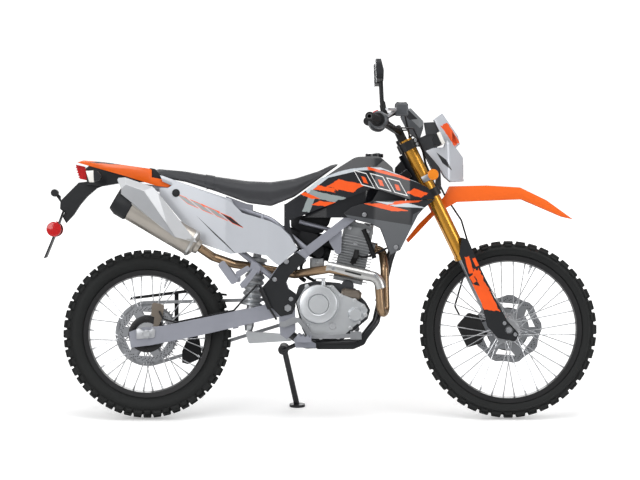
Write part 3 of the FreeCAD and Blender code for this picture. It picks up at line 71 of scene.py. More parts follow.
# %% The stance
STANCE = (Matrix.Translation((-0.658, -0.197, 0.003126))
          @ Matrix.Rotation(math.radians(-10), 4, "X") @ Matrix.Scale(0.001, 4))
UPRIGHT = STANCE.inverted()
RAKE, AXLE_LEAD = math.radians(26), 57
WHEELBASE, FRONT_R, REAR_R = 1370, 336, 319
FRONT_WHEEL, REAR_WHEEL = (WHEELBASE, FRONT_R), (0, REAR_R)
SIDES = ((-1, "right"), (1, "left"))


def fork_spot(ahead, side, up):
    """A spot ahead of the steering axis, to the left, and up along it, as on the CAD's fork."""
    ahead -= AXLE_LEAD
    return Vector((WHEELBASE + math.cos(RAKE) * ahead - math.sin(RAKE) * up, side,
                   FRONT_R + math.sin(RAKE) * ahead + math.cos(RAKE) * up))


print("upright origin lies at", [round(v, 3) for v in STANCE.to_translation()])

# %% [markdown]
# ## Camera
# The photograph is a side view from the right, taken from far away and a little above the
# wheels. A long lens from a long way off keeps the perspective as small as there.


# %% Camera
def set_all(made, **settings):
    """Several settings of one thing at once."""
    for name, value in settings.items():
        setattr(made, name, value)
    return made


def put(name, data):
    """An object of the scene from its data."""
    made = bpy.data.objects.new(name, data)
    bpy.context.scene.collection.objects.link(made)
    return made


def look(made, place, target):
    """The object stands at a place and looks at a target."""
    made.location = place
    made.rotation_euler = (Vector(target) - Vector(place)).to_track_quat("-Z", "Y").to_euler()


LENS, SENSOR, WIDTH_SEEN, RAISED = 300, 36, 2.432, math.radians(10)
AIM = Vector((-0.0025, -0.0794, 0.668))
distance = LENS * WIDTH_SEEN / SENSOR
camera = put("camera", bpy.data.cameras.new("camera"))
set_all(camera.data, lens=LENS, clip_end=200)
look(camera, AIM + Vector((0, -math.cos(RAISED), math.sin(RAISED))) * distance, AIM)
bpy.context.scene.camera = camera
print("camera", round(distance, 2), "m away")

# %% [markdown]
# ## Light
# A studio cut-out has soft light from all round, a bright ceiling and no visible horizon. The
# world gives the even part, and four large lamps give shape. The world is white to the camera,
# lights the machine at well under half of that, and is a touch brighter in reflections. These
# helpers make its nodes here, and those of every material further on.


# %% Node helpers
def add(tree, kind, inputs=None, **settings):
    """A shader node with its settings; an input may be a value or another node's output."""
    made = set_all(tree.nodes.new("ShaderNode" + kind), **settings)
    for name, value in (inputs or {}).items():
        if isinstance(value, bpy.types.NodeSocket):
            tree.links.new(value, made.inputs[name])
        else:
            made.inputs[name].default_value = value
    return made


def math_node(tree, operation, first, second=0.0, third=0.0, clamp=False):
    return add(tree, "Math", {0: first, 1: second, 2: third}, operation=operation,
               use_clamp=clamp).outputs[0]


def mix_colour(tree, factor, first, second):
    return add(tree, "Mix", {"Factor": factor, 6: first, 7: second}, data_type="RGBA").outputs[2]


def noise(tree, spot, scale, detail, rough=0.5):
    return add(tree, "TexNoise", {"Vector": spot, "Scale": scale, "Detail": detail,
                                  "Roughness": rough}).outputs[0]


def object_spot(tree):
    return add(tree, "TexCoord").outputs["Object"]


def new_material(name):
    """An empty material and its node tree."""
    made = bpy.data.materials.new(name)
    made.use_nodes = True
    made.node_tree.nodes.clear()
    return made, made.node_tree


def principled(tree, values):
    """The material's surface."""
    surface = add(tree, "BsdfPrincipled", values)
    add(tree, "OutputMaterial", {"Surface": surface.outputs[0]})


# %% [markdown]
# The lamps are rectangles, since a large lamp gives the soft edge of shadow that a studio has.
# One could paint the light on a dome instead, but lamps are easier to move and to weigh.

# %% World and lamps
LIT, REFLECTED = 0.38, 0.40
world = bpy.data.worlds.new("studio")
bpy.context.scene.world = world
world.use_nodes = True
tree = world.node_tree
tree.nodes.clear()
ray = add(tree, "LightPath").outputs
seen = math_node(tree, "MAXIMUM", ray["Is Camera Ray"], ray["Is Transmission Ray"])
level = LIT
for factor, brightness in ((ray["Is Glossy Ray"], REFLECTED), (seen, 1.0)):
    level = add(tree, "Mix", {"Factor": factor, "A": level, "B": brightness},
                data_type="FLOAT").outputs[0]
sky = add(tree, "Background", {"Color": (1, 1, 1, 1), "Strength": level})
add(tree, "OutputWorld", {"Surface": sky.outputs[0]})
for name, place, target, size, power in (
        ("ceiling", (0, -0.6, 4.2), (0, 0, 0.5), (4.5, 3), 125),
        ("key", (-2.4, -3.8, 2.6), (0, 0, 0.6), (2.2, 2.2), 72),
        ("front", (3.6, -2.6, 1.8), (0.2, 0, 0.5), (1.6, 2.2), 45),
        ("far side", (0.5, 4.2, 2.4), (0, 0, 0.6), (3.0, 2.0), 80)):
    made = set_all(bpy.data.lights.new(name, "AREA"), shape="RECTANGLE", size=size[0],
                   size_y=size[1], energy=power)
    look(put(name, made), place, target)
bpy.context.scene.view_settings.view_transform = "Standard"

# %% [markdown]
# ## Floor
# The floor is pale and keeps a soft shadow. It glows a little for the camera, so that it runs
# into the white world without a line.

# %% Floor
FLOOR_RADIUS = 30
disc = bmesh.new()
bmesh.ops.create_circle(disc, cap_ends=True, segments=96, radius=FLOOR_RADIUS)
floor = put("floor", bpy.data.meshes.new("floor"))
disc.to_mesh(floor.data)
disc.free()
paint, tree = new_material("pale floor")
spot = object_spot(tree)
tone = mix_colour(tree, noise(tree, spot, 40.0, 3.0), (0.80, 0.80, 0.80, 1), (0.82, 0.82, 0.82, 1))
away = add(tree, "VectorMath", {0: spot}, operation="LENGTH").outputs["Value"]
level = add(tree, "MapRange", {"Value": away, "From Min": 1.4, "From Max": 9.0,
                               "To Min": 0.36, "To Max": 0.95}).outputs[0]
glow = math_node(tree, "MULTIPLY", add(tree, "LightPath").outputs["Is Camera Ray"], level)
principled(tree, {"Base Color": tone, "Roughness": 0.9, "Specular IOR Level": 0.1,
                  "Emission Color": (1, 1, 1, 1), "Emission Strength": glow})
floor.data.materials.append(paint)
floor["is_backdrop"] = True
print("floor radius", FLOOR_RADIUS)

# %% [markdown]
# ## Effects that several finishes share
# Moulded plastic, cast metal and paint all show three things: a fine grain, a slow change of tone
# over the piece, and edges that are rounded and a little rubbed. Each effect is one node group, so
# that every finish can use it with its own values.

# %% Groups
FLOAT, VECTOR = "NodeSocketFloat", "NodeSocketVector"
WEAR_GAIN = 14.0


def new_group(name, inputs, outputs):
    """A node group with its sockets, what its inputs give, and what its outputs take."""
    group = bpy.data.node_groups.new(name, "ShaderNodeTree")
    for label, kind, value in inputs:
        socket = group.interface.new_socket(label, in_out="INPUT", socket_type=kind)
        if value is not None:
            socket.default_value = value
    for label, kind in outputs:
        group.interface.new_socket(label, in_out="OUTPUT", socket_type=kind)
    return (group, group.nodes.new("NodeGroupInput").outputs,
            group.nodes.new("NodeGroupOutput").inputs)


grain, given, result = new_group("grain", [("Size", FLOAT, 900.0), ("Stretch", VECTOR, (1, 1, 1))],
                                 [("Height", FLOAT), ("Tone", FLOAT)])
spot = object_spot(grain)
pulled = add(grain, "Mapping", {"Vector": spot, "Scale": given["Stretch"]}).outputs[0]
grain.links.new(noise(grain, pulled, given["Size"], 3.0, 0.6), result["Height"])
grain.links.new(noise(grain, spot, 9.0, 5.0, 0.6), result["Tone"])

edges, given, result = new_group("rounded edges", [("Radius", FLOAT, 0.0012), ("Wear", FLOAT, 0.5)],
                                 [("Normal", VECTOR), ("Rubbed", FLOAT)])
soft = add(edges, "Bevel", {"Radius": given["Radius"]}, samples=4).outputs[0]
true_normal = add(edges, "NewGeometry").outputs["Normal"]
same = add(edges, "VectorMath", {0: soft, 1: true_normal}, operation="DOT_PRODUCT").outputs["Value"]
patchy = noise(edges, object_spot(edges), 60.0, 6.0)
worn = math_node(edges, "MULTIPLY", math_node(edges, "SUBTRACT", 1.0, same), patchy)
worn = math_node(edges, "MULTIPLY", worn, WEAR_GAIN)
worn = math_node(edges, "MULTIPLY", worn, given["Wear"], clamp=True)
edges.links.new(soft, result["Normal"])
edges.links.new(worn, result["Rubbed"])

patch, given, result = new_group("patch", [("Vector", VECTOR, None), ("Slant", FLOAT, 0.0),
                                           ("Ragged", FLOAT, 0.0)], [("Mask", FLOAT)])
parts = add(patch, "SeparateXYZ", {0: given["Vector"]}).outputs
lean = math_node(patch, "MULTIPLY", parts["Z"], given["Slant"])
ahead = math_node(patch, "SUBTRACT", parts["X"], lean)
tear = math_node(patch, "SUBTRACT", noise(patch, object_spot(patch), 46.0, 4.0, 0.62), 0.5)
tear = math_node(patch, "MULTIPLY", tear, given["Ragged"])
reach = math_node(patch, "MAXIMUM", math_node(patch, "ABSOLUTE", ahead),
                  math_node(patch, "ABSOLUTE", parts["Z"]))
inside = math_node(patch, "LESS_THAN", math_node(patch, "ADD", reach, tear), 1.0)
patch.links.new(inside, result["Mask"])
print("groups", [g.name for g in bpy.data.node_groups])

# %% [markdown]
# ## Finishes
# One table holds the plain values of each finish: colour, metal or not, roughness, the grain's
# size and depth, how far the tone drifts, the edge's radius and wear, and the clear coat. Brushed
# metals stretch the grain, so that it runs one way.

# %% Finish table
FINISHES = {
    # name: (colour, metallic, roughness, grain size, depth, drift, edge, wear, coat)
    "tyre": ((0.014, 0.015, 0.015), 0, 0.72, 700, 0.25, 0.35, 0.0010, 0.3, 0),
    "black_rim": ((0.012, 0.012, 0.013), 0.2, 0.32, 500, 0.05, 0.2, 0.0010, 0.4, 0.3),
    "spoked_steel": ((0.60, 0.61, 0.63), 0.9, 0.28, 800, 0.06, 0.15, 0.0008, 0.2, 0),
    "disc_steel": ((0.36, 0.37, 0.39), 0.9, 0.32, 900, 0.08, 0.15, 0.0006, 0.2, 0),
    "bare_steel": ((0.40, 0.41, 0.43), 0.9, 0.35, 700, 0.08, 0.2, 0.0008, 0.3, 0),
    "cast_alloy": ((0.50, 0.51, 0.53), 0.8, 0.42, 1100, 0.16, 0.2, 0.0014, 0.2, 0),
    "silver_frame": ((0.33, 0.34, 0.39), 0.55, 0.36, 900, 0.06, 0.12, 0.0020, 0.2, 0.15),
    "dark_frame": ((0.018, 0.018, 0.021), 0.3, 0.34, 700, 0.06, 0.2, 0.0015, 0.3, 0.2),
    "gold_fork": ((0.66, 0.32, 0.045), 0.9, 0.26, 300, 0.01, 0.06, 0.0010, 0.05, 0.1),
    "black_metal": ((0.013, 0.013, 0.014), 0.2, 0.40, 900, 0.10, 0.25, 0.0010, 0.5, 0),
    "black_plastic": ((0.014, 0.015, 0.017), 0, 0.50, 1000, 0.14, 0.25, 0.0014, 0.25, 0),
    "black_rubber": ((0.012, 0.012, 0.013), 0, 0.66, 1000, 0.20, 0.25, 0.0012, 0.15, 0),
    "cable_black": ((0.014, 0.014, 0.016), 0, 0.42, 900, 0.08, 0.2, 0.0008, 0.1, 0.1),
    "orange_plastic": ((0.86, 0.135, 0.012), 0, 0.26, 500, 0.03, 0.08, 0.0020, 0.05, 0.4),
    "silver_plastic": ((0.50, 0.52, 0.56), 0.15, 0.30, 500, 0.03, 0.06, 0.0020, 0.03, 0.35),
    "charcoal_plastic": ((0.012, 0.013, 0.016), 0, 0.24, 500, 0.03, 0.15, 0.0020, 0.1, 0.4),
    "grey_plastic": ((0.075, 0.080, 0.088), 0.1, 0.36, 700, 0.06, 0.15, 0.0020, 0.1, 0.1),
    "seat_cover": ((0.040, 0.041, 0.045), 0, 0.62, 520, 0.45, 0.2, 0.0010, 0.1, 0),
    "red_lens": ((0.50, 0.008, 0.010), 0, 0.14, 300, 0.03, 0.15, 0.0010, 0, 0.5),
    "signal_lens": ((0.80, 0.78, 0.74), 0, 0.16, 300, 0.03, 0.1, 0.0010, 0, 0.5),
    "bronze_pipe": ((0.34, 0.23, 0.14), 0.9, 0.30, 600, 0.05, 0.4, 0.0010, 0.1, 0),
    "satin_pipe": ((0.56, 0.56, 0.55), 0.9, 0.30, 800, 0.05, 0.12, 0.0010, 0.1, 0),
    "engine_silver": ((0.60, 0.62, 0.64), 0.75, 0.36, 1200, 0.18, 0.15, 0.0016, 0.2, 0.1),
    "engine_dark": ((0.055, 0.057, 0.062), 0.5, 0.42, 1100, 0.18, 0.3, 0.0010, 0.6, 0),
    "fin_grey": ((0.30, 0.31, 0.32), 0.7, 0.42, 1100, 0.18, 0.25, 0.0008, 0.5, 0),
    "can_steel": ((0.42, 0.39, 0.35), 0.9, 0.34, 800, 0.05, 0.2, 0.0010, 0.1, 0),
    "caliper_bronze": ((0.20, 0.17, 0.14), 0.6, 0.40, 900, 0.12, 0.2, 0.0012, 0.4, 0),
    # The muffler's cover in two copies of one metal: painted shade for its face, a painted highlight
    # for its band.
    "cover_painted_shade": ((0.42, 0.43, 0.45), 0.6, 0.34, 700, 0.04, 0.15, 0.0020, 0.1, 0.3),
    "cover_painted_highlight": ((0.62, 0.63, 0.65), 0.5, 0.34, 700, 0.04, 0.06, 0.0020, 0.1, 0.3),
    "amber": ((0.85, 0.24, 0.01), 0, 0.16, 300, 0.03, 0.15, 0.0010, 0, 0.5),
    "mirror_glass": ((0.80, 0.82, 0.84), 1.0, 0.03, 200, 0.0, 0.04, 0.0005, 0, 0),
    "screen": ((0.010, 0.012, 0.014), 0, 0.08, 200, 0.0, 0.2, 0.0005, 0, 0.6),
    "kill_red": ((0.55, 0.010, 0.012), 0, 0.35, 700, 0.06, 0.1, 0.0008, 0.1, 0.1),
}
BRUSHED = {"satin_pipe": (0.06, 1, 0.5), "disc_steel": (0.3, 1, 0.3), "bare_steel": (0.2, 1, 1)}
print("rows", len(FINISHES))

# %% [markdown]
# One function turns a row into a material. The painted shapes on the panels come in as patches: a
# patch is a slanted rectangle in the side view, so it stays sharp at any distance.

# %% Make the finishes
MATERIALS = {}


def drifted(tree, colour, tone, drift):
    """The colour, a little lighter and darker over the piece."""
    change = math_node(tree, "MULTIPLY_ADD", math_node(tree, "SUBTRACT", tone, 0.5), 2.0 * drift, 1.0)
    return add(tree, "HueSaturation", {"Value": change, "Color": colour}).outputs[0]


def painted(tree, colour, patches):
    """Patches on a colour; each is colour, forward, up, half sizes, turn, slant and raggedness."""
    place = add(tree, "Mapping", {
        "Vector": object_spot(tree), "Location": UPRIGHT.to_translation() / 1000,
        "Rotation": UPRIGHT.to_euler()}).outputs[0]
    for tint, forward, up, long, tall, turn, slant, ragged in patches:
        local = add(tree, "Mapping", {
            "Vector": place, "Location": (forward / 1000, 0, up / 1000),
            "Rotation": (0, math.radians(-turn), 0), "Scale": (long / 1000, 1, tall / 1000)},
            vector_type="TEXTURE").outputs[0]
        shape = add(tree, "Group", {"Vector": local, "Slant": slant, "Ragged": ragged},
                    node_tree=patch)
        colour = mix_colour(tree, shape.outputs[0], colour, (*tint, 1))
    return colour


def finish(name, label=None, patches=()):
    """A material from the table's row, with patches where given."""
    colour, metal, rough, size, depth, drift, edge, wear, coat = FINISHES[name]
    made, tree = new_material(label or name)
    texture = add(tree, "Group", {"Size": size, "Stretch": BRUSHED.get(name, (1, 1, 1))},
                  node_tree=grain).outputs
    rim = add(tree, "Group", {"Radius": edge, "Wear": wear}, node_tree=edges).outputs
    base = add(tree, "RGB").outputs[0]
    base.default_value = (*colour, 1)
    base = drifted(tree, painted(tree, base, patches) if patches else base, texture["Tone"], drift)
    light = [min(1, c * 1.6 + 0.03) for c in colour]
    bump = add(tree, "Bump", {"Height": texture["Height"], "Normal": rim["Normal"],
                              "Strength": depth, "Distance": 0.0006})
    principled(tree, {
        "Base Color": mix_colour(tree, rim["Rubbed"], base, (*light, 1)), "Metallic": float(metal),
        "Roughness": math_node(tree, "MULTIPLY_ADD", texture["Tone"], 0.8 * drift,
                               rough - 0.4 * drift),
        "Normal": bump.outputs[0], "Coat Weight": float(coat), "Coat Roughness": 0.08,
        "Specular IOR Level": 0.5 if metal else 0.26})
    MATERIALS[label or name] = made
    return made


for name in FINISHES:
    finish(name)
print("finishes", len(MATERIALS))

# %% [markdown]
# ## Clear plastic
# The headlight's lens is clear. Real lens plastic is thin, so a plain transmission with no
# roughness reads as clear, and faint flutes break its reflection.

# %% Clear lens
glass, tree = new_material("clear_lens")
texture = add(tree, "Group", {"Size": 30}, node_tree=grain).outputs
bump = add(tree, "Bump", {"Height": texture["Height"], "Strength": 0.05, "Distance": 0.001})
tint = mix_colour(tree, texture["Tone"], (0.93, 0.95, 0.96, 1), (0.98, 0.99, 1.0, 1))
principled(tree, {"Base Color": tint, "Roughness": 0.03, "Transmission Weight": 1.0, "IOR": 1.12,
                  "Normal": bump.outputs[0]})
MATERIALS["clear_lens"] = glass
print("clear lens made")

# %% [markdown]
# ## Small tools for making pieces
# Nearly all new pieces start as a bmesh cylinder, cube, circle or a few vertices. These helpers
# draw one at its place in the upright drawing in hand, alone or mirrored to both sides.

# %% Drawing helpers
bm = bmesh.new()


def along(start, end, share=0.5):
    """A matrix whose own z runs from one point to another, and that sits at a share of the way."""
    start, end = Vector(start), Vector(end)
    turn = (end - start).to_track_quat("Z", "Y").to_matrix().to_4x4()
    return Matrix.Translation(start.lerp(end, share)) @ turn


def at_side(x, y, z, side=1):
    """A place whose own z axis points out to the rider's left, or to the right."""
    return Matrix.Translation((x, y, z)) @ Matrix.Rotation(math.radians(-90 * side), 4, "X")


def soften(rims, offset, segments, clamp=True):
    return bmesh.ops.bevel(bm, geom=list(rims), offset=offset, segments=segments, profile=0.5,
                           affect="EDGES", material=-1, clamp_overlap=clamp)


def add_rod(start, end, radius, radius_end=None, sides=20):
    """A round or tapered rod between two points."""
    bmesh.ops.create_cone(bm, cap_ends=True, segments=sides, radius1=radius,
                          radius2=radius if radius_end is None else radius_end,
                          depth=(Vector(end) - Vector(start)).length, matrix=along(start, end))


def add_rods(start, end, radius, radius_end=None, sides=20):
    """The same rod on both sides of the machine."""
    for side in (-1, 1):
        add_rod(*((x, side * y, z) for x, y, z in (start, end)), radius, radius_end, sides)


def add_block(matrix, size, top, bevel, rounds=1):
    """A block whose upper end may be smaller, with its edges bevelled."""
    verts = bmesh.ops.create_cube(bm, size=1.0)["verts"]
    bmesh.ops.scale(bm, vec=size, verts=verts)
    bmesh.ops.scale(bm, vec=(top, top, 1), verts=[v for v in verts if v.co.z > 0])
    bmesh.ops.transform(bm, matrix=matrix, verts=verts)
    made = soften({edge for v in verts for edge in v.link_edges}, bevel, rounds)
    return list({v for face in made["faces"] for v in face.verts} |
                {v for v in verts if v.is_valid})


def pulled_face(verts, vec):
    """A face through the vertices becomes a solid along a vector. Gives the new vertices."""
    pulled = bmesh.ops.extrude_face_region(bm, geom=[bm.faces.new(verts)])["geom"]
    moved = [part for part in pulled if isinstance(part, bmesh.types.BMVert)]
    bmesh.ops.translate(bm, vec=vec, verts=moved)
    return moved


def add_slab(outline, low, high, bevel, rounds=2):
    """A side view outline pulled across the machine, from one y to another."""
    verts = [bm.verts.new((x, low, z)) for x, z in outline]
    moved = pulled_face(verts, (0, high - low, 0))
    soften({edge for v in (*verts, *moved) for edge in v.link_edges}, bevel, rounds)


def add_slabs(outline, near, far, bevel, rounds=2):
    """The same slab on both sides of the machine, from one distance out to another."""
    for side in (-1, 1):
        add_slab(outline, *sorted((side * near, side * far)), bevel, rounds)


def add_turned(profile, matrix, steps=48, closed=False):
    """A turned shape: the profile is radius and height on the matrix's own z axis."""
    before = set(bm.verts)
    verts = [bm.verts.new((radius, 0, height)) for radius, height in profile]
    rims = [bm.edges.new(two) for two in zip(verts, verts[1:])]
    if closed:
        rims.append(bm.edges.new((verts[-1], verts[0])))
    bmesh.ops.spin(bm, geom=verts + rims, cent=(0, 0, 0), axis=(0, 0, 1), angle=math.tau,
                   steps=steps, use_merge=True)
    bmesh.ops.transform(bm, matrix=matrix, verts=[v for v in bm.verts if v not in before])


def add_bolts(spots, radius, height, sides=(-1, 1)):
    """Flanged hexagon heads that stand out of both sides, or of one. A spot's y is its way out."""
    for x, y, z in spots:
        for side in sides:
            foot, collar, waist, head = ((x, side * (y + reach), z) for reach in (
                -0.4, height * 0.3, height * 0.25, height))
            add_rod(foot, collar, radius * 1.25, radius * 1.15, 18)
            add_rod(waist, head, radius, radius * 0.92, 6)


def around(centre, radius, angle, y=0.0):
    """A spot at a radius and an angle round a centre in the side view."""
    return Vector((centre[0] + radius * math.cos(angle), y, centre[1] + radius * math.sin(angle)))


def ring(centre, radius, y, count, first=0.0):
    """Spots at even steps round a centre."""
    return [around(centre, radius, first + math.tau * i / count, y) for i in range(count)]


# %% [markdown]
# A drawing may also start from a CAD piece. When a drawing is done, its seams are closed and its
# faces turned outwards. Then it is leaned over, rides on its body, and a fresh sheet is laid out.

# %% From the CAD and to the scene
SEAM = 2e-5


def read_node(node):
    """A CAD piece's mesh, upright, with its loose triangles joined, becomes the drawing."""
    bm.from_mesh(frame["nodes"][node].data)
    bmesh.ops.remove_doubles(bm, verts=bm.verts, dist=SEAM)
    bmesh.ops.transform(bm, matrix=UPRIGHT, verts=bm.verts)


def dress(name, slot, body="chassis", smooth=30, replaces=(), doubles=0.01):
    """The drawing becomes an object of the scene: clean, leaned over, painted and carried."""
    global bm
    bmesh.ops.remove_doubles(bm, verts=bm.verts, dist=doubles)
    bmesh.ops.recalc_face_normals(bm, faces=bm.faces)
    bmesh.ops.transform(bm, matrix=STANCE, verts=bm.verts)
    mesh = bpy.data.meshes.new(name)
    bm.to_mesh(mesh)
    bm.free()
    bm = bmesh.new()
    mesh.shade_smooth()
    mesh.set_sharp_from_angle(angle=math.radians(smooth))
    piece = put(name, mesh)
    mesh.materials.append(MATERIALS[slot])
    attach(piece, body)
    if replaces:
        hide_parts(*replaces)
    print(name, len(mesh.polygons), "faces")
    return piece


# %% [markdown]
# ## Finishes on the CAD pieces
# A CAD piece keeps its mesh, and only its material changes. The record says which finish each
# piece has. Panels with painted shapes get their own material further on.

# %% Paint the CAD pieces
BODY_OF = {node: body for body, nodes in frame["record"]["behaviour"]["bodies"].items()
           for node in nodes}
SLOT_OF = {part["node"]: part["material_slot"] for part in frame["record"]["subparts"]}


def paint_node(node, material):
    data = frame["nodes"][node].data
    data.materials.clear()
    data.materials.append(material)


for node, slot in SLOT_OF.items():
    paint_node(node, MATERIALS[slot])
for node, name in (("cylinder", "fin_grey"), ("muffler", "can_steel"),
                   ("rear_caliper", "caliper_bronze"), ("front_caliper", "black_metal"),
                   ("triple_clamps", "black_metal"), ("instrument", "grey_plastic")):
    paint_node(node, MATERIALS[name])
print("painted", len(SLOT_OF))

# %% [markdown]
# ## Tyres
# A knobby tyre is a smooth carcass with rows of blocks. The carcass is one profile spun round the
# axle. Each pitch of tread is a few tapered blocks, made once and copied round by the same spin
# operator. The blocks alternate: a pair near the middle, then one wide one. The middle rows lie
# level, as the CAD's do, so the leaning tyre still touches the floor.


# %% Tyres
TAPER, EASED = 0.88, 1.3


def add_knob(centre, reach, y, tilt, size, turn):
    """A tread block whose outer face lies at a radius and a y, tilted towards its side."""
    out = Vector((math.cos(tilt), math.sin(tilt), 0))
    side = Vector((-math.sin(tilt), math.cos(tilt), 0))
    place = Matrix.Translation(Vector((reach, y, 0)) - out * (size[2] / 2))
    turned = Matrix((Vector((0, 0, 1)), side, out)).transposed().to_4x4()
    base = Matrix.Translation((centre[0], 0, centre[1])) @ Matrix.Rotation(turn, 4, "Y")
    return add_block(base @ place @ turned, size, TAPER, EASED)


def knobby_tyre(node, centre, half, flange, rim_half, pitches, crown, rows):
    """A carcass through the crown's points and the rim, with each row of knobs on both sides."""
    radius, seat = centre[1], rim_half - 6.3
    walls = [(flange + 30, half * 0.95), (flange + 16, half * 0.86), (flange + 5, rim_half + 4),
             (flange + 2, rim_half - 1), (flange + 1, seat), (flange - 12, seat)]
    side = [(radius - drop, y) for y, drop in crown] + walls
    profile = [*((r, -y) for r, y in reversed(side)), *side]
    add_turned(profile, at_side(centre[0], 0, centre[1]), 144, True)
    knobs = []
    step = math.tau / pitches
    for share, y, drop, tilt, size in rows:
        for sign in ((1,) if y == 0 else (-1, 1)):
            knobs += add_knob(centre, radius - drop, sign * y, sign * math.radians(tilt), size,
                              step * share)
    geom = set(knobs) | {e for v in knobs for e in v.link_edges} | {
        f for v in knobs for f in v.link_faces}
    bmesh.ops.spin(bm, geom=list(geom), cent=(centre[0], 0, centre[1]), axis=(0, 1, 0),
                   angle=math.tau - step, steps=pitches - 1, use_duplicate=True)
    dress(node + "_tread", "tyre", BODY_OF[node], 28, (node,))


knobby_tyre("rear_tyre", REAR_WHEEL, 54, 242, 32, 26,
            [(4, 12), (18, 12.5), (32, 17), (44, 27), (51, 40)], [
    (0.5, 0, 0.4, 0, (31, 30, 14)), (0, 9.5, 0.4, 0, (32, 16, 14)),
    (0.5, 28, 3.6, 18, (32, 19, 15)), (0, 43.5, 12, 38, (34, 21, 18)),
    (0.5, 48.8, 18.5, 52, (25, 14, 14))])
knobby_tyre("front_tyre", FRONT_WHEEL, 40, 280, 25, 22,
            [(3, 11), (14, 11.2), (24, 14.5), (33, 22), (38, 32)], [
    (0.5, 0, 0.4, 0, (36, 24, 12.5)), (0, 9.3, 0.4, 0, (38, 15, 12.5)),
    (0.5, 23.5, 3.2, 20, (38, 14, 13)), (0, 32.5, 9, 40, (40, 15, 15)),
    (0.5, 36.5, 13.5, 54, (28, 10, 12))])

# %% [markdown]
# ## Spoke nipples and valves
# The CAD carries the spokes. What tells a real wire wheel is the row of nipples at the rim: short
# tapered nuts, each in line with its spoke.


# %% Nipples
SPOKES, LEAD, VALVE = 36, 0.62, math.radians(70)


def nipples(name, body, centre, inner, flange_radius, flange_side):
    """Nuts in line with the spokes, which cross in fours, and one valve."""
    for i in range(SPOKES // 4):
        for side in (-1, 1):
            base = math.tau * (i + (0.25 if side > 0 else 0)) * 4 / SPOKES
            for turn, lead, inset in ((base, LEAD, 0), (base + 0.2, -LEAD, 3.5)):
                start = around(centre, flange_radius, turn, (flange_side - inset) * side)
                end = around(centre, inner, turn + lead, 5 * side)
                line = (end - start).normalized()
                add_rod(end - line * 15, end - line * 1.5, 2.5, 3.6, 8)
    for foot, tip, *sizes in ((-34, 0.5, 3, 4, 12), (-6, -1, 6.5, 6.5, 6)):
        add_rod(around(centre, inner + foot, VALVE), around(centre, inner + tip, VALVE), *sizes)
    dress(name, "spoked_steel", body, 32)


nipples("front_nipples", "front_wheel", FRONT_WHEEL, 256, 33, 30)
nipples("rear_nipples", "rear_wheel", REAR_WHEEL, 218, 40, 35)

# %% [markdown]
# ## Chain
# A roller chain is two kinds of link in turn, a narrow pair of plates and a wide pair, with a
# roller at each pin. One plate is a bar with rounded ends. The links stand on the loop that the
# two sprockets and the two straight runs make, one chain pitch apart.

# %% Chain
CHAIN_LINE, BIG, SMALL, PITCH = 70, 118, 34, 15.875
DRIVE = (604, 418)
rise, ahead = DRIVE[1] - REAR_R, DRIVE[0]
span, slope = math.hypot(ahead, rise), math.atan2(rise, ahead)
leaning = math.acos((BIG - SMALL) / span)
run = math.sqrt(span ** 2 - (BIG - SMALL) ** 2)
RUNS = [run, SMALL * 2 * leaning, run, BIG * (math.tau - 2 * leaning)]
LINKS = 2 * round(sum(RUNS) / PITCH / 2)


def chain_spot(distance):
    """A place on the loop: over the top to the front, round, back below, and round the rear."""
    up, low = slope + leaning, slope - leaning
    rear = lambda angle: around(REAR_WHEEL, BIG, angle, CHAIN_LINE)
    drive = lambda angle: around(DRIVE, SMALL, angle, CHAIN_LINE)
    if distance < RUNS[0]:
        return rear(up).lerp(drive(up), distance / RUNS[0])
    distance -= RUNS[0]
    if distance < RUNS[1]:
        return drive(up - distance / SMALL)
    distance -= RUNS[1]
    if distance < RUNS[2]:
        return drive(low).lerp(rear(low), distance / RUNS[2])
    return rear(low - (distance - RUNS[2]) / BIG)


pitch = sum(RUNS) / LINKS
for i in range(LINKS):
    here, after = chain_spot(pitch * i), chain_spot(pitch * (i + 1) % sum(RUNS))
    step = after - here
    heading = Matrix.Rotation(-math.atan2(step.z, step.x), 4, "Y")
    inset = 6.2 if i % 2 else 8.4
    for side in (-1, 1):
        plate = bmesh.ops.create_cube(bm, size=1.0)["verts"]
        bmesh.ops.scale(bm, vec=(pitch + 12, 12.5, 1.9), verts=plate)
        uprights = {e for v in plate for e in v.link_edges
                    if abs(e.verts[0].co.z - e.verts[1].co.z) > 1}
        made = soften(uprights, 5.6, 3, clamp=False)
        round_plate = {v for f in made["faces"] for v in f.verts} | {v for v in plate if v.is_valid}
        place = Matrix.Translation((here + after) / 2) @ heading @ at_side(0, side * inset, 0)
        bmesh.ops.transform(bm, matrix=place, verts=list(round_plate))
    for half, radius, sides in ((5.2, 5, 10), (10.4, 2.4, 8)):
        out = Vector((0, half, 0))
        add_rod(here - out, here + out, radius, sides=sides)
dress("chain_links", "bare_steel", replaces=("chain",))
print("links", LINKS, "pitch", round(pitch, 3))

# %% [markdown]
# ## Seat
# The seat is foam under a vinyl cover. The cloth simulation blows a slightly smaller copy up
# against its own edge, so that it crowns softly as foam does. The base stays still. A cap on how
# far a point may move keeps it off the tank and the panels.


# %% Seat
def take_result(piece):
    """The piece's mesh becomes what its modifiers make of it."""
    bpy.context.view_layer.update()
    shaped = piece.evaluated_get(bpy.context.evaluated_depsgraph_get())
    mesh = bpy.data.meshes.new_from_object(shaped)
    piece.modifiers.clear()
    piece.data = mesh


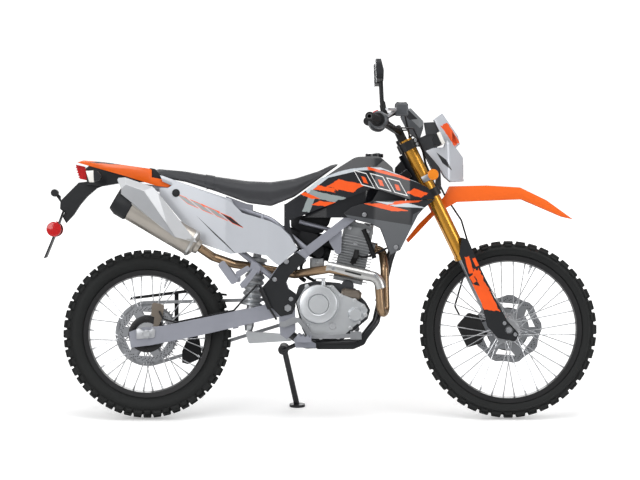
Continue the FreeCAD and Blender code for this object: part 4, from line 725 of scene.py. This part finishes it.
mesh = bpy.data.meshes.new("seat_cover")
joined = bmesh.new()
joined.from_mesh(frame["nodes"]["seat"].data)
bmesh.ops.remove_doubles(joined, verts=joined.verts, dist=SEAM)
joined.to_mesh(mesh)
joined.free()
mesh.materials.append(MATERIALS["seat_cover"])
seat = put("seat_cover", mesh)
set_all(seat.modifiers.new("even", "REMESH"), mode="VOXEL", voxel_size=0.006)
set_all(seat.modifiers.new("ease", "SMOOTH"), factor=0.5, iterations=6)
set_all(seat.modifiers.new("inset", "DISPLACE"), strength=-0.004, mid_level=0.0)
take_result(seat)
print("seat", len(seat.data.vertices), "points")
CAP, LAST_FRAME = 0.007, 20
start = [v.co.copy() for v in seat.data.vertices]
held = seat.vertex_groups.new(name="base")
held.add([v.index for v in seat.data.vertices if v.normal.z < -0.5], 1.0, "REPLACE")
cloth = set_all(seat.modifiers.new("foam", "CLOTH").settings, use_pressure=True,
                uniform_pressure_force=4.0, vertex_group_mass="base", quality=5)
cloth.effector_weights.gravity = 0
for number in range(1, LAST_FRAME + 1):
    bpy.context.scene.frame_set(number)
take_result(seat)
bpy.context.scene.frame_set(1)
far = 0
for v, from_here in zip(seat.data.vertices, start):
    moved = v.co - from_here
    far = max(far, moved.length)
    if moved.length > CAP:
        v.co = from_here + moved * (CAP / moved.length)
print("seat swelled", round(far * 1000, 1), "mm at most, capped at", CAP * 1000)

# %% [markdown]
# The cover is one vinyl skin. A wide strap crosses it behind the rider, sewn down at both edges.
# The strap is cut from the finished cover itself, between two planes, and thickened outwards, so
# it follows every swell of the foam.

# %% Seat cover and strap
set_all(seat.modifiers.new("fine", "SUBSURF"), levels=1, render_levels=1)
seat.data.shade_smooth()
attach(seat, "chassis")
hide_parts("seat")
STRAP_BACK, STRAP_FRONT, STRAP_FOOT, STRAP_THICK = 222, 256, 870, 2.2
bm.from_mesh(seat.data)
bmesh.ops.transform(bm, matrix=UPRIGHT, verts=bm.verts)
for spot, normal in (((STRAP_BACK, 0, 0), (-1, 0, 0)), ((STRAP_FRONT, 0, 0), (1, 0, 0)),
                     ((0, 0, STRAP_FOOT), (0, 0, -1))):
    bmesh.ops.bisect_plane(bm, geom=[*bm.verts, *bm.edges, *bm.faces], plane_co=spot,
                           plane_no=normal, clear_outer=True)
bmesh.ops.delete(bm, geom=[f for f in bm.faces if f.normal.z < -0.3], context="FACES")
bmesh.ops.solidify(bm, geom=list(bm.faces), thickness=-STRAP_THICK)
dress("seat_strap", "seat_cover", smooth=40, doubles=0.001)

# %% [markdown]
# ## Painted panels
# The photographed livery is its maker's own, so these are generic shapes of like colours: torn
# blocks of orange and grey, outlined slanted bars, and a pale edge.

# %% Graphics
ORANGE, PALE, SAGE, WHITE, INK = ((0.86, 0.10, 0.012), (0.56, 0.60, 0.64), (0.27, 0.31, 0.31),
                                  (0.80, 0.80, 0.80), (0.014, 0.015, 0.018))
shroud_marks = [
    (PALE, 640, 893, 50, 15, 38, 0, 0.1), (PALE, 735, 934, 64, 12, 13, 0, 0.1),
    (PALE, 850, 947, 62, 8, 2, 0, 0.1), (PALE, 965, 919, 76, 5, -21, 0, 0.1),
    (SAGE, 618, 822, 14, 44, -16, 0.3, 0.6), (SAGE, 676, 838, 56, 13, -12, 0.4, 0.7),
    (ORANGE, 612, 843, 30, 7, -24, 0.5, 0.4), (ORANGE, 672, 812, 34, 9, -6, 0.5, 1.3),
    (ORANGE, 752, 880, 50, 19, -13, 0.4, 0.5), (ORANGE, 680, 868, 40, 9, -8, 0.2, 1.6),
    (ORANGE, 913, 926, 86, 5, -15, 0, 1.5), (ORANGE, 1022, 852, 28, 13, -20, 0.3, 0.7),
]
for forward, up in ((822, 905), (884, 893), (946, 876)):
    for colour, long, tall in ((WHITE, 26, 24), (INK, 22.5, 20.5)):
        shroud_marks.append((colour, forward, up, long, tall, -15, -0.9, 0.0))
    shroud_marks.append((ORANGE, forward + 2, up - 3, 8, 10, -15, -0.9, 0.8))
paint_node("tank_shrouds", finish("charcoal_plastic", "shroud_paint", shroud_marks))
paint_node("shroud_scoops", finish("grey_plastic", "scoop_paint", [
    (INK, 858, 792, 150, 38, -9, 0, 0), (INK, 1010, 812, 70, 34, 27, 0, 0),
    (PALE, 962, 808, 62, 8, -3, -0.6, 0.5), (ORANGE, 905, 799, 56, 9, -15, 0.6, 0.35),
    (ORANGE, 985, 820, 60, 6, 6, 0.4, 1.4)]))
panel_marks = [(ORANGE, 240, 795, 40, 3, -24, 0, 1.2)]
for forward, up, fill in ((152, 824, SAGE), (208, 800, SAGE), (264, 776, SAGE), (322, 750, INK)):
    for colour, grow in ((ORANGE, 2.2), (fill, 0)):
        panel_marks.append((colour, forward, up, 22 + grow, 8 + grow, -23, -1.3, 0.15))
panel_marks.append((INK, 274, 684, 48, 3.6, -46, 1.5, 0))
paint_node("side_panels", finish("silver_plastic", "panel_paint", panel_marks))
paint_node("headlight_cowl", finish("silver_plastic", "cowl_paint", [
    (ORANGE, 1150, 1075, 46, 13, -56, 0, 0.9), (INK, 1126, 972, 24, 9, -60, 0.9, 0)]))
paint_node("instrument", finish("grey_plastic", "meter_paint", [
    ((0.20, 0.21, 0.22), 1006, 1148, 54, 15, -45, 0, 0), (INK, 993, 1149, 24, 12, -45, 0.4, 0)]))
paint_node("fork_guards", finish("black_plastic", "guard_paint", [
    (ORANGE, 1281, 457, 52, 24, -63, 0.3, 0.45), (ORANGE, 1218, 582, 34, 9, -75, 0, 0.7),
    (ORANGE, 1243, 592, 17, 6, -65, 0, 0.6), (ORANGE, 1233, 527, 14, 8, -60, 0, 0.5),
    (ORANGE, 1262, 521, 44, 13, -63, 0, 1.9)]))
paint_node("main_frame", finish("silver_frame", "frame_paint", [(INK, 1080, 900, 176, 260, 0, 0, 0)]))
paint_node("tail_cover", finish("orange_plastic", "tail_paint", [
    ((0.90, 0.42, 0.28), -50, 962, 90, 5, -7, 0, 1.0), (INK, -150, 966, 60, 2.5, -5, 0.5, 1.6)]))
print("painted panels 8")

# %% [markdown]
# ## Rounded shells
# A moulded panel has no hard corners. Each of three panels gets a visual copy of its CAD piece:
# flat faces are joined again, bends in the side view are rounded with a wide bevel, which turns a
# polyline into a soft curve, and all other corners with a narrow one.


# %% Rounded shells
BEND, SHARP = (4, 60), 35


def rounded(node, wide, narrow):
    """A visual copy of a CAD piece with eased bends and corners, in the same place."""
    read_node(node)
    bmesh.ops.dissolve_limit(bm, angle_limit=math.radians(1.0), verts=bm.verts, edges=bm.edges,
                             use_dissolve_boundaries=False)
    folds = [(edge, math.degrees(edge.calc_face_angle(0))) for edge in bm.edges
             if len(edge.link_faces) == 2]
    bends = [edge for edge, turn in folds if BEND[0] < turn < BEND[1] and
             abs((edge.verts[1].co - edge.verts[0].co).normalized().y) > 0.99]
    if bends and wide:
        soften(bends, wide, 4)
    soften([e for e in bm.edges if len(e.link_faces) == 2
            and math.degrees(e.calc_face_angle(0)) > SHARP], narrow, 2)
    piece = dress(node + "_shell", SLOT_OF[node], BODY_OF[node], 30, (node,), 0.001)
    piece.data.materials[0] = frame["nodes"][node].data.materials[0]


for node, wide, narrow in (("front_fender", 22, 1.2), ("tail_cover", 16, 1.2),
                           ("headlight_cowl", 0, 1.0)):
    rounded(node, wide, narrow)

# %% [markdown]
# ## Grips and mirrors
# Grips are turned shapes with ribs. The mirror glass is a thin plate let into the back of each
# head. A core inside the cowl closes a notch that one could see through.


# %% Grips, mirrors and the cowl's core
def bar_spot(side, y):
    """A spot on the handlebar's outer part, which sweeps back and up."""
    share = (y - 262) / 153
    return fork_spot(-38 - 31 * share, side * y, 923 + 29 * share)


for side, hand in SIDES:
    start, end = bar_spot(side, 299), bar_spot(side, 414)
    length = (end - start).length
    profile = [(12, 0)]
    for i in range(19):
        low = 2 + 5.9 * i
        profile += [(16.6, low), (17.5, low + 1), (17.5, low + 3.4), (16.6, low + 4.4)]
    profile += [(15.5, length), (7.2, length + 0.3)]
    add_turned(profile, along(start, end, 0), 32)
    dress("grip_ribs_" + hand, "black_rubber", "fork", 40)
    place = along(fork_spot(7.4, side * 318, 1048), fork_spot(50.5, side * 318, 1144))
    add_block(place, (116, 1.6, 88), 1.0, 0.5)
    dress("mirror_glass_" + hand, "mirror_glass", "fork", 32)

add_slab([(1150, 1092), (1163, 1094), (1181, 1052), (1178, 1034), (1158, 1044)], -58, 58, 1.0)
core = dress("cowl_core", "silver_plastic", "fork")
core.data.materials[0] = MATERIALS["cowl_paint"]

# %% [markdown]
# ## Switches, reservoir and instrument
# The switch housings are turned round the bars. The brake reservoir is a soft block with a lid,
# round the CAD's plain one. The instrument has a dark screen towards the rider.

# %% Switches, reservoir and screen
for side, hand in SIDES:
    add_turned([(22.5, -1.5), (30, -1.5), (33.5, 2), (33.5, 13), (32, 14), (32, 16), (33.5, 17),
                (33.5, 26), (30, 30), (26.5, 31.5), (22.5, 31.5)],
               along(bar_spot(side, 262), bar_spot(side, 292), 0), 36, True)
    dress("switch_housing_" + hand, "grey_plastic", "fork")
lean_back = Matrix.Rotation(math.radians(-24), 4, "Y")
add_block(Matrix.Translation(bar_spot(-1, 277) + Vector((-12, 0, 31))) @ lean_back,
          (22, 13, 8), 0.85, 2.0, 2)
dress("kill_switch", "kill_red", "fork", 32)
reservoir = fork_spot(53.75, -214, 924.5)
add_block(Matrix.Translation(reservoir), (50.6, 41, 48.4), 1.0, 6.5, 3)
dress("brake_reservoir", "grey_plastic", "fork")
add_block(Matrix.Translation(reservoir + Vector((0, 0, 25.2))), (42, 33, 4), 0.94, 1.2, 2)
for ahead, side in ((-14, -9), (14, 9)):
    spot = reservoir + Vector((ahead, side, 27))
    add_rod(spot, spot + Vector((0, 0, 1.6)), 3.2, sides=14)
dress("reservoir_lid", "black_plastic", "fork")
add_slab([(962.4, 1139), (967.6, 1166), (965.6, 1166.6), (960.6, 1139.4)], -38, 38, 0.6, 1)
dress("instrument_screen", "screen", "fork")
add_bolts([(1015, 117.5, 1050), (1021.5, 117.8, 1037)], 5.4, 5)
dress("clamp_bolts", "bare_steel", "fork")

# %% [markdown]
# ## Lamps
# Signals and tail lamp get a lens of their own in front of the CAD body. Behind the headlight's
# clear lens stand a turned mirror bowl and a bulb. Amber reflectors sit on the fork's legs.


# %% Lamps
def fork_outline(*spots):
    """A side view outline from spots ahead of the steering axis and up along it."""
    return [fork_spot(ahead, 0, up).xz for ahead, up in spots]


add_slabs(fork_outline((134, 787), (149, 787.5), (147, 739), (133, 740)), 131, 197.2, 2.0)
dress("front_signal_lenses", "signal_lens", "fork", 32)
add_slabs([(-227.4, 936), (-214, 892.6), (-196, 893), (-198, 937)], 119, 177.4, 2.0)
dress("rear_signal_lenses", "signal_lens", smooth=32)
for i in range(5):
    low = 910 + 9.5 * i
    shift = (low - 907) * -0.296
    add_slab([(-258.4 + shift, low), (-232 + shift * 0.2, low + 3), (-232 + shift * 0.2, low + 5),
              (-259.6 + shift, low + 4)], -38.8, 38.8, 0.8, 1)
dress("tail_light_louvres", "red_lens", smooth=32)
forward = Matrix.Rotation(math.radians(84), 4, "Y")
add_turned([(0, -30), (14, -28), (30, -18), (42, 0), (45, 14), (43, 14), (40, 1), (28, -16),
            (12, -26), (0, -28)], Matrix.Translation(fork_spot(148, 0, 650)) @ forward, 40)
dress("headlight_bowl", "mirror_glass", "fork")
add_turned([(0, -8), (7, -8), (7, 6), (5, 14), (0, 16)],
           Matrix.Translation(fork_spot(140, 0, 649)) @ forward, 20)
dress("headlight_bulb", "signal_lens", "fork")
for side in (-1, 1):
    add_turned([(0, 4.5), (16, 4.2), (20, 3), (21, 0), (21, -3), (0, -3)],
               at_side(*fork_spot(56, side * 128, 653), side), 36)
dress("amber_reflectors", "amber", "fork")
add_slabs(fork_outline((10, 640), (70, 640), (70, 664), (10, 664)), 122.4, 125, 1.0)
dress("reflector_brackets", "bare_steel", "fork", 32)

# %% [markdown]
# ## Engine detail
# What makes an engine read as one from a step away is the ring of bolts round each cover, the
# bosses under them, the plug cap on the cylinder and the release arm above the clutch.

# %% Engine bolts
COVER_FACE = 100
cover_edge = ((606, 500), (596, 448), (604, 400), (612, 352), (618, 314), (658, 307), (724, 308),
              (770, 343), (800, 366), (826, 392), (818, 424), (786, 446), (734, 464), (700, 496))
for x, z in cover_edge:
    add_rod((x, 10 - COVER_FACE, z), (x, -2.5 - COVER_FACE, z), 9.5, 8.5, 18)
add_bolts([(x, COVER_FACE + 2.5, z) for x, z in cover_edge], 5.2, 5, (-1,))
add_bolts(ring((789, 393), 24, COVER_FACE + 13, 3, math.radians(90)), 3.6, 4, (-1,))
dress("right_cover_bolts", "engine_silver")
add_bolts(ring((728, 398), 60, 106, 6, math.radians(20)), 4.5, 5, (1,))
add_bolts([(x, 92, z) for x, z in ((662, 340), (700, 316), (780, 352), (820, 400), (794, 440),
                                   (704, 470), (664, 450))], 4.8, 5, (1,))
dress("left_cover_bolts", "bare_steel")

# %% [markdown]
# The oil's sight glass is a turned ring. The release arm is a post with a lever on top, and the
# plug cap stands on the cylinder's side, its lead bent upwards.

# %% Sight glass, release arm and plug cap
add_turned([(0, 3), (9, 3), (9.5, 5), (13, 5), (14, 0), (14, -2)],
           at_side(703, -COVER_FACE, 350, -1), 32)
dress("oil_sight_glass", "cast_alloy")
add_rod((667, -107, 462), (668, -107, 520), 11, 9)
add_rod((668, -107, 519), (668, -107, 532), 6.5)
add_block(Matrix.Translation((654, -107, 529)), (46, 13, 5), 1.0, 1.5, 2)
dress("clutch_release_arm", "engine_silver")
add_rod((779, -64, 588), (790, -88, 612), 11, 10)
add_rod((790, -88, 606), (795, -88, 638), 11.5, 8.5)
dress("plug_cap", "black_rubber", smooth=40)

# %% [markdown]
# ## Muffler cap
# The muffler ends in a dark moulded cap, and a bright ring closes the can at its front.

# %% Muffler cap
MUFFLER = Vector((182, -166, 658)), Vector((-112, -166, 831))
length = (MUFFLER[1] - MUFFLER[0]).length
add_turned([(50.5, length - 66), (54.8, length - 60), (54.8, length - 20), (44, length + 4.5),
            (26, length + 4.8), (24, length - 8), (0, length - 8)], along(*MUFFLER, 0), 48)
dress("muffler_cap", "black_plastic")
add_turned([(50.4, 6), (53, 8), (53, 16), (50.4, 18)], along(*MUFFLER, 0), 48)
dress("muffler_ring", "satin_pipe")

# %% [markdown]
# ## Carburettor, starter and hoses
# Behind the frame's spar sits the carburettor between airbox and cylinder, with wiring above it.
# Its throat is a rod with two clamps, and the float bowl hangs below as two soft blocks.

# %% Carburettor and starter
INLET, OUTLET = Vector((592, 0, 650)), Vector((694, 0, 621))
add_rod(INLET, OUTLET, 31, 29, 32)
heading = Vector((102, 0, -29)).normalized()
for share in (0.16, 0.84):
    spot = INLET.lerp(OUTLET, share)
    add_rod(spot - heading * 4, spot + heading * 4, 34, sides=32)
add_rod((650, -24, 632), (650, -48, 632), 25, 22, 32)
add_slab([(545, 768), (700, 768), (690, 736), (664, 702), (600, 694), (566, 712), (545, 725)],
         -22, 22, 4)
dress("throttle_body", "black_plastic", smooth=32)
add_block(Matrix.Translation((644, 0, 586)), (54, 58, 44), 1.0, 6, 3)
add_block(Matrix.Translation((644, 0, 557)), (36, 40, 16), 0.9, 4, 2)
add_bolts([(644, 29, 590)], 6, 4, (-1,))
dress("float_bowl", "engine_silver")
add_rod((743, -80, 475), (803, -80, 466), 19.5, sides=32)
add_rod((736, -80, 476), (745, -80, 474.6), 14, 18, 32)
add_rod((801, -80, 466.3), (812, -80, 464.6), 18, 11, 32)
dress("starter", "caliper_bronze", smooth=32)

# %% [markdown]
# Hoses and the plug lead are short curved lines. Each is one Bezier curve between two ends, drawn
# out by two handles, with short rods along it. A curve object would do too, but rods stay a mesh.

# %% Hoses
for start, pull, push, end, radius in (
        ((820, -64, 716), (834, -64, 690), (850, -64, 640), (862, -64, 606), 9),
        ((792, -64, 616), (830, -84, 600), (860, -80, 622), (908, -40, 644), 4),
        ((600, -30, 600), (560, -44, 570), (600, -40, 530), (640, -36, 520), 6),
        ((570, 10, 640), (548, 14, 590), (560, 10, 540), (600, 0, 520), 8),
        ((664, -30, 660), (700, -36, 690), (740, -40, 720), (800, -36, 760), 3.5)):
    line = interpolate_bezier(*(Vector(spot) for spot in (start, pull, push, end)), 14)
    for near, far in zip(line, line[1:]):
        add_rod(near, far, radius, sides=14)
dress("engine_hoses", "black_rubber")

# %% [markdown]
# ## Rails and the clutch's rim
# Two thin rails carry the seat above the carburettor. A plain raised rim tells the clutch's round
# cover from the casting behind it.

# %% Rails and clutch rim
add_rods((577, 40, 745), (700, 40, 713), 8)
dress("upper_rails", "silver_frame")
add_turned([(40, -131), (43, -133.6), (64, -133), (71, -130), (74, -122), (74, -100), (40, -100)],
           at_side(649, 0, 433), 64, True)
dress("clutch_rim", "engine_silver")

# %% [markdown]
# ## Reflectors, lips and liners
# Round red reflectors stand beside the plate. A pale lip finishes each side panel under the seat,
# and dark liners close the shrouds from inside.

# %% Reflectors, lips and liners
for side in (-1, 1):
    add_turned([(0, 9.5), (22, 9.2), (27, 7.6), (28.5, 4), (28.5, 0), (0, 0)],
               at_side(-352, side * 71, 716, side), 40)
dress("side_reflectors", "red_lens")
add_rods((-349, 60, 704), (-349, 71, 712), 9)
add_rods((-352, 68, 716), (-352, 72, 716), 25, sides=32)
dress("reflector_mounts", "black_plastic")
add_slabs([(50, 921), (222, 861), (320, 829), (330, 810), (210, 832), (60, 896)], 95, 99, 1.0)
dress("panel_lips", "silver_plastic")
add_slabs([(846, 812), (880, 868), (965, 868), (978, 846), (978, 812)], 126, 129, 0.8)
dress("shroud_liners", "black_plastic")

# %% [markdown]
# ## Fins on the cylinder's head
# The head is a casting with shallow fins on its sides and bosses for its bolts. They lean forward
# with the cylinder.


# %% Head fins and the seat's end
def cylinder_spot(ahead, up):
    """A spot in the side view, ahead of the leaning cylinder's middle and up along it."""
    lean = math.radians(12)
    return (735 + math.cos(lean) * ahead + math.sin(lean) * up,
            400 - math.sin(lean) * ahead + math.cos(lean) * up)


for i in range(7):
    low, half = 226 + 11 * i, 56 - 3.0 * max(0, i - 3)
    add_slabs([cylinder_spot(a, s) for a, s in ((-half, low), (half, low), (half, low + 3.6),
                                                (-half, low + 3.6))], 54, 66, 1.0, 1)
for spot in ((-34, 322), (34, 322), (0, 268)):
    x, z = cylinder_spot(*spot)
    add_rods((x, 54, z), (x, 64, z), 9, 8, 24)
    add_bolts([(x, 63, z)], 5.5, 5)
dress("head_fins", "cast_alloy")
add_slab([(10, 948), (30, 945), (62, 916), (62, 904), (10, 904)], -82, 82, 3)
dress("seat_pan_end", "black_plastic")

# %% [markdown]
# ## Heat shields
# The header's heat shield is half a tube that follows the pipe, with a bolt at each end and a slot
# between. A profile of half a ring is swept along the pipe's bend: here each station of the bend
# is one ring of edges, and the bridge operator skins them. The muffler's own shield keeps its
# shape, and joins the same piece.


# %% Heat shields
def arc_line(start, corner, end, radius, steps):
    """Straight, round the corner in small steps, and straight again: places and headings."""
    start, corner, end = Vector(start), Vector(corner), Vector(end)
    back, on = (start - corner).normalized(), (end - corner).normalized()
    reach = radius / math.tan(back.angle(on) / 2)
    middle = corner + (back + on).normalized() * (radius / math.sin(back.angle(on) / 2))
    near, far = corner + back * reach, corner + on * reach
    turn = (near - middle).cross(far - middle).normalized()
    sweep = (near - middle).angle(far - middle)
    line = [(start, -back)]
    for i in range(steps + 1):
        spun = Matrix.Rotation(sweep * i / steps, 3, turn)
        line.append((middle + spun @ (near - middle), spun @ -back))
    return line + [(end, on)]


HEADER_FROM, BEND_RADIUS, PIPE_RADIUS, SHEET = 500, 40, 20.6, 1.2
read_node("exhaust_shields")
bmesh.ops.delete(bm, geom=[v for v in bm.verts if v.co.x > HEADER_FROM], context="VERTS")
muffler_shield = set(bm.faces)
rings, outward = [], Vector((0, -1, 0))
for spot, heading in arc_line((886, -122, 492), (874, -122, 533), (680, -122, 575), BEND_RADIUS,
                              10):
    up = heading.cross(outward).normalized()
    verts = []
    for i in range(13):
        angle = math.radians(-84 + 14 * i)
        out = outward * math.cos(angle) + up * math.sin(angle)
        verts.append(bm.verts.new(spot + out * PIPE_RADIUS))
    rings.append([bm.edges.new(two) for two in zip(verts, verts[1:])])
for near, far in zip(rings, rings[1:]):
    bmesh.ops.bridge_loops(bm, edges=near + far)
header_shield = [face for face in bm.faces if face not in muffler_shield]
bmesh.ops.recalc_face_normals(bm, faces=header_shield)
bmesh.ops.solidify(bm, geom=header_shield, thickness=SHEET)
dress("heat_shields", "satin_pipe", replaces=("exhaust_shields",), doubles=0.001)
# The slot is not cut: a thin dark plate on the shield is painted shade where one would look in at the
# pipe.
add_slab([(748, 555.5), (751, 562), (812, 546.5), (809, 540)], -143.6, -142.2, 0.4, 1)
dress("shield_slot_shade", "black_metal")
add_bolts([(866, 142.4, 541), (706, 142.4, 569)], 6.4, 2.6, (-1,))
dress("shield_bolts", "bare_steel")

# %% [markdown]
# ## The muffler's cover
# A pressed cover hides the upper half of the can. It has two planes that meet in a crease: the
# band above leans inwards and catches the light from above, the face below stands nearly upright.
# Both are one metal in two copies: the band's is lighter, a painted highlight, and the face's is
# darker, painted shade.


# %% Muffler cover
def add_plate(corners, thick=3.5):
    """A plate through corners in space, which gets its thickness towards the machine."""
    pulled_face([bm.verts.new(spot) for spot in corners], (0, thick, 0))


crease = [(-92, -224, 868), (-74, -226, 884), (-6, -226, 859), (81, -226, 733), (112, -223, 687)]
bottom = [(112, -221, 682.5), (-93, -221, 849)]
top = [(-108, -188, 902), (-103, -186, 909), (-79, -184, 911), (27, -188, 875), (43, -202, 857),
       (194, -217, 665)]
add_plate(crease + bottom)
# The face below gets the darker copy of the cover's metal: painted shade.
dress("muffler_cover_face", "cover_painted_shade", smooth=20)
# The band above gets the lighter copy of the same metal: a painted highlight.
for inner, outer in (((0, 1), (0, 1, 2)), ((1, 2), (2, 3)), ((2, 3), (3, 4)), ((3, 4), (4, 5))):
    add_plate([crease[i] for i in inner] + [top[i] for i in reversed(outer)])
dress("muffler_cover_band", "cover_painted_highlight", smooth=20)

# %% [markdown]
# ## Axle blocks and discs
# The rear axle sits in square adjuster blocks, and bolts clamp the front one in the fork's ends.

# %% Axle blocks
add_slabs([(-38, 300), (30, 306), (34, 336), (24, 344), (6, 330), (-8, 330), (-26, 344),
           (-40, 338)], 102, 110, 2.5)
add_bolts([(0, 118, REAR_R)], 13, 10)
add_rods((0, 102, REAR_R), (0, 118, REAR_R), 17, sides=28)
dress("axle_blocks", "cast_alloy")
add_bolts([(WHEELBASE, 123, FRONT_R)], 11, 7)
add_bolts([fork_spot(70, 131, -26), fork_spot(52, 131, 30)], 6, 4)
dress("fork_end_bolts", "bare_steel", "fork")

# %% [markdown]
# Each brake disc is bolted to a dark carrier, and rows of small drilled holes lighten it. The
# holes are not cut: thin dark discs laid through it are painted shade where one looks into them,
# since cutting the CAD's disc would cost many faces.


# %% Disc carriers and holes
def disc_hole_shades(name, body, centre, radius, faces):
    """Painted shade for rows of small drilled holes: thin dark discs through both faces."""
    for share, reach in ((0, 0.90), (0.33, 0.865), (0.66, 0.83)):
        for x, y, z in ring(centre, radius * reach, 0, 36, math.tau * share / 36):
            add_rod((x, faces[0], z), (x, faces[1], z), 2.1, sides=8)
    dress(name, "black_metal", body)


def disc_carrier(name, body, centre, side, radius, face):
    """A dark ring inside the disc, with six bolts."""
    add_turned([(radius * share, height) for share, height in (
        (0.40, 0), (0.62, 0), (0.63, 1.5), (0.60, 2.5), (0.42, 2.5), (0.40, 1.5))],
        at_side(centre[0], side * face, centre[1], side), 48, True)
    add_bolts(ring(centre, radius * 0.52, face + 2.5, 6, math.tau / 12), 4.5, 3.5, (side,))
    dress(name, "black_metal", body)


FRONT_DISC, REAR_DISC = 131, 111
disc_hole_shades("front_disc_hole_shades", "front_wheel", FRONT_WHEEL, FRONT_DISC, (59.6, 63.8))
disc_hole_shades("rear_disc_hole_shades", "rear_wheel", REAR_WHEEL, REAR_DISC, (-66.3, -62.1))
disc_carrier("rear_disc_carrier", "rear_wheel", REAR_WHEEL, -1, REAR_DISC, 66.4)
disc_carrier("front_disc_carrier", "front_wheel", FRONT_WHEEL, 1, FRONT_DISC, 63.9)

# %% [markdown]
# ## Fasteners on the panels
# Each panel hangs on a few bolts. One place under the seat has a plug in a shallow round cup.

# %% Panel bolts
for side in (-1, 1):
    add_turned([(0, 3.5), (12, 3.5), (15, 2), (15, -4), (0, -4)],
               at_side(111, side * 101.2, 853, side))
dress("panel_plugs", "black_plastic")
add_bolts([(823, 138, 771), (942, 160, 648), (484, 118, 526), (546, 117.5, 452)], 7, 4)
add_bolts([(528, 121, 594)], 8, 4)
add_bolts([(534, 112, 418)], 15, 8)
dress("panel_bolts", "bare_steel")

# %% [markdown]
# ## Sizes and the end
# The box round the dressed part is printed. The dressed part has to keep the CAD's
# size.

# %% Print the box
low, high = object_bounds()
print("visual box", [round(v, 3) for v in (*low, *high)])
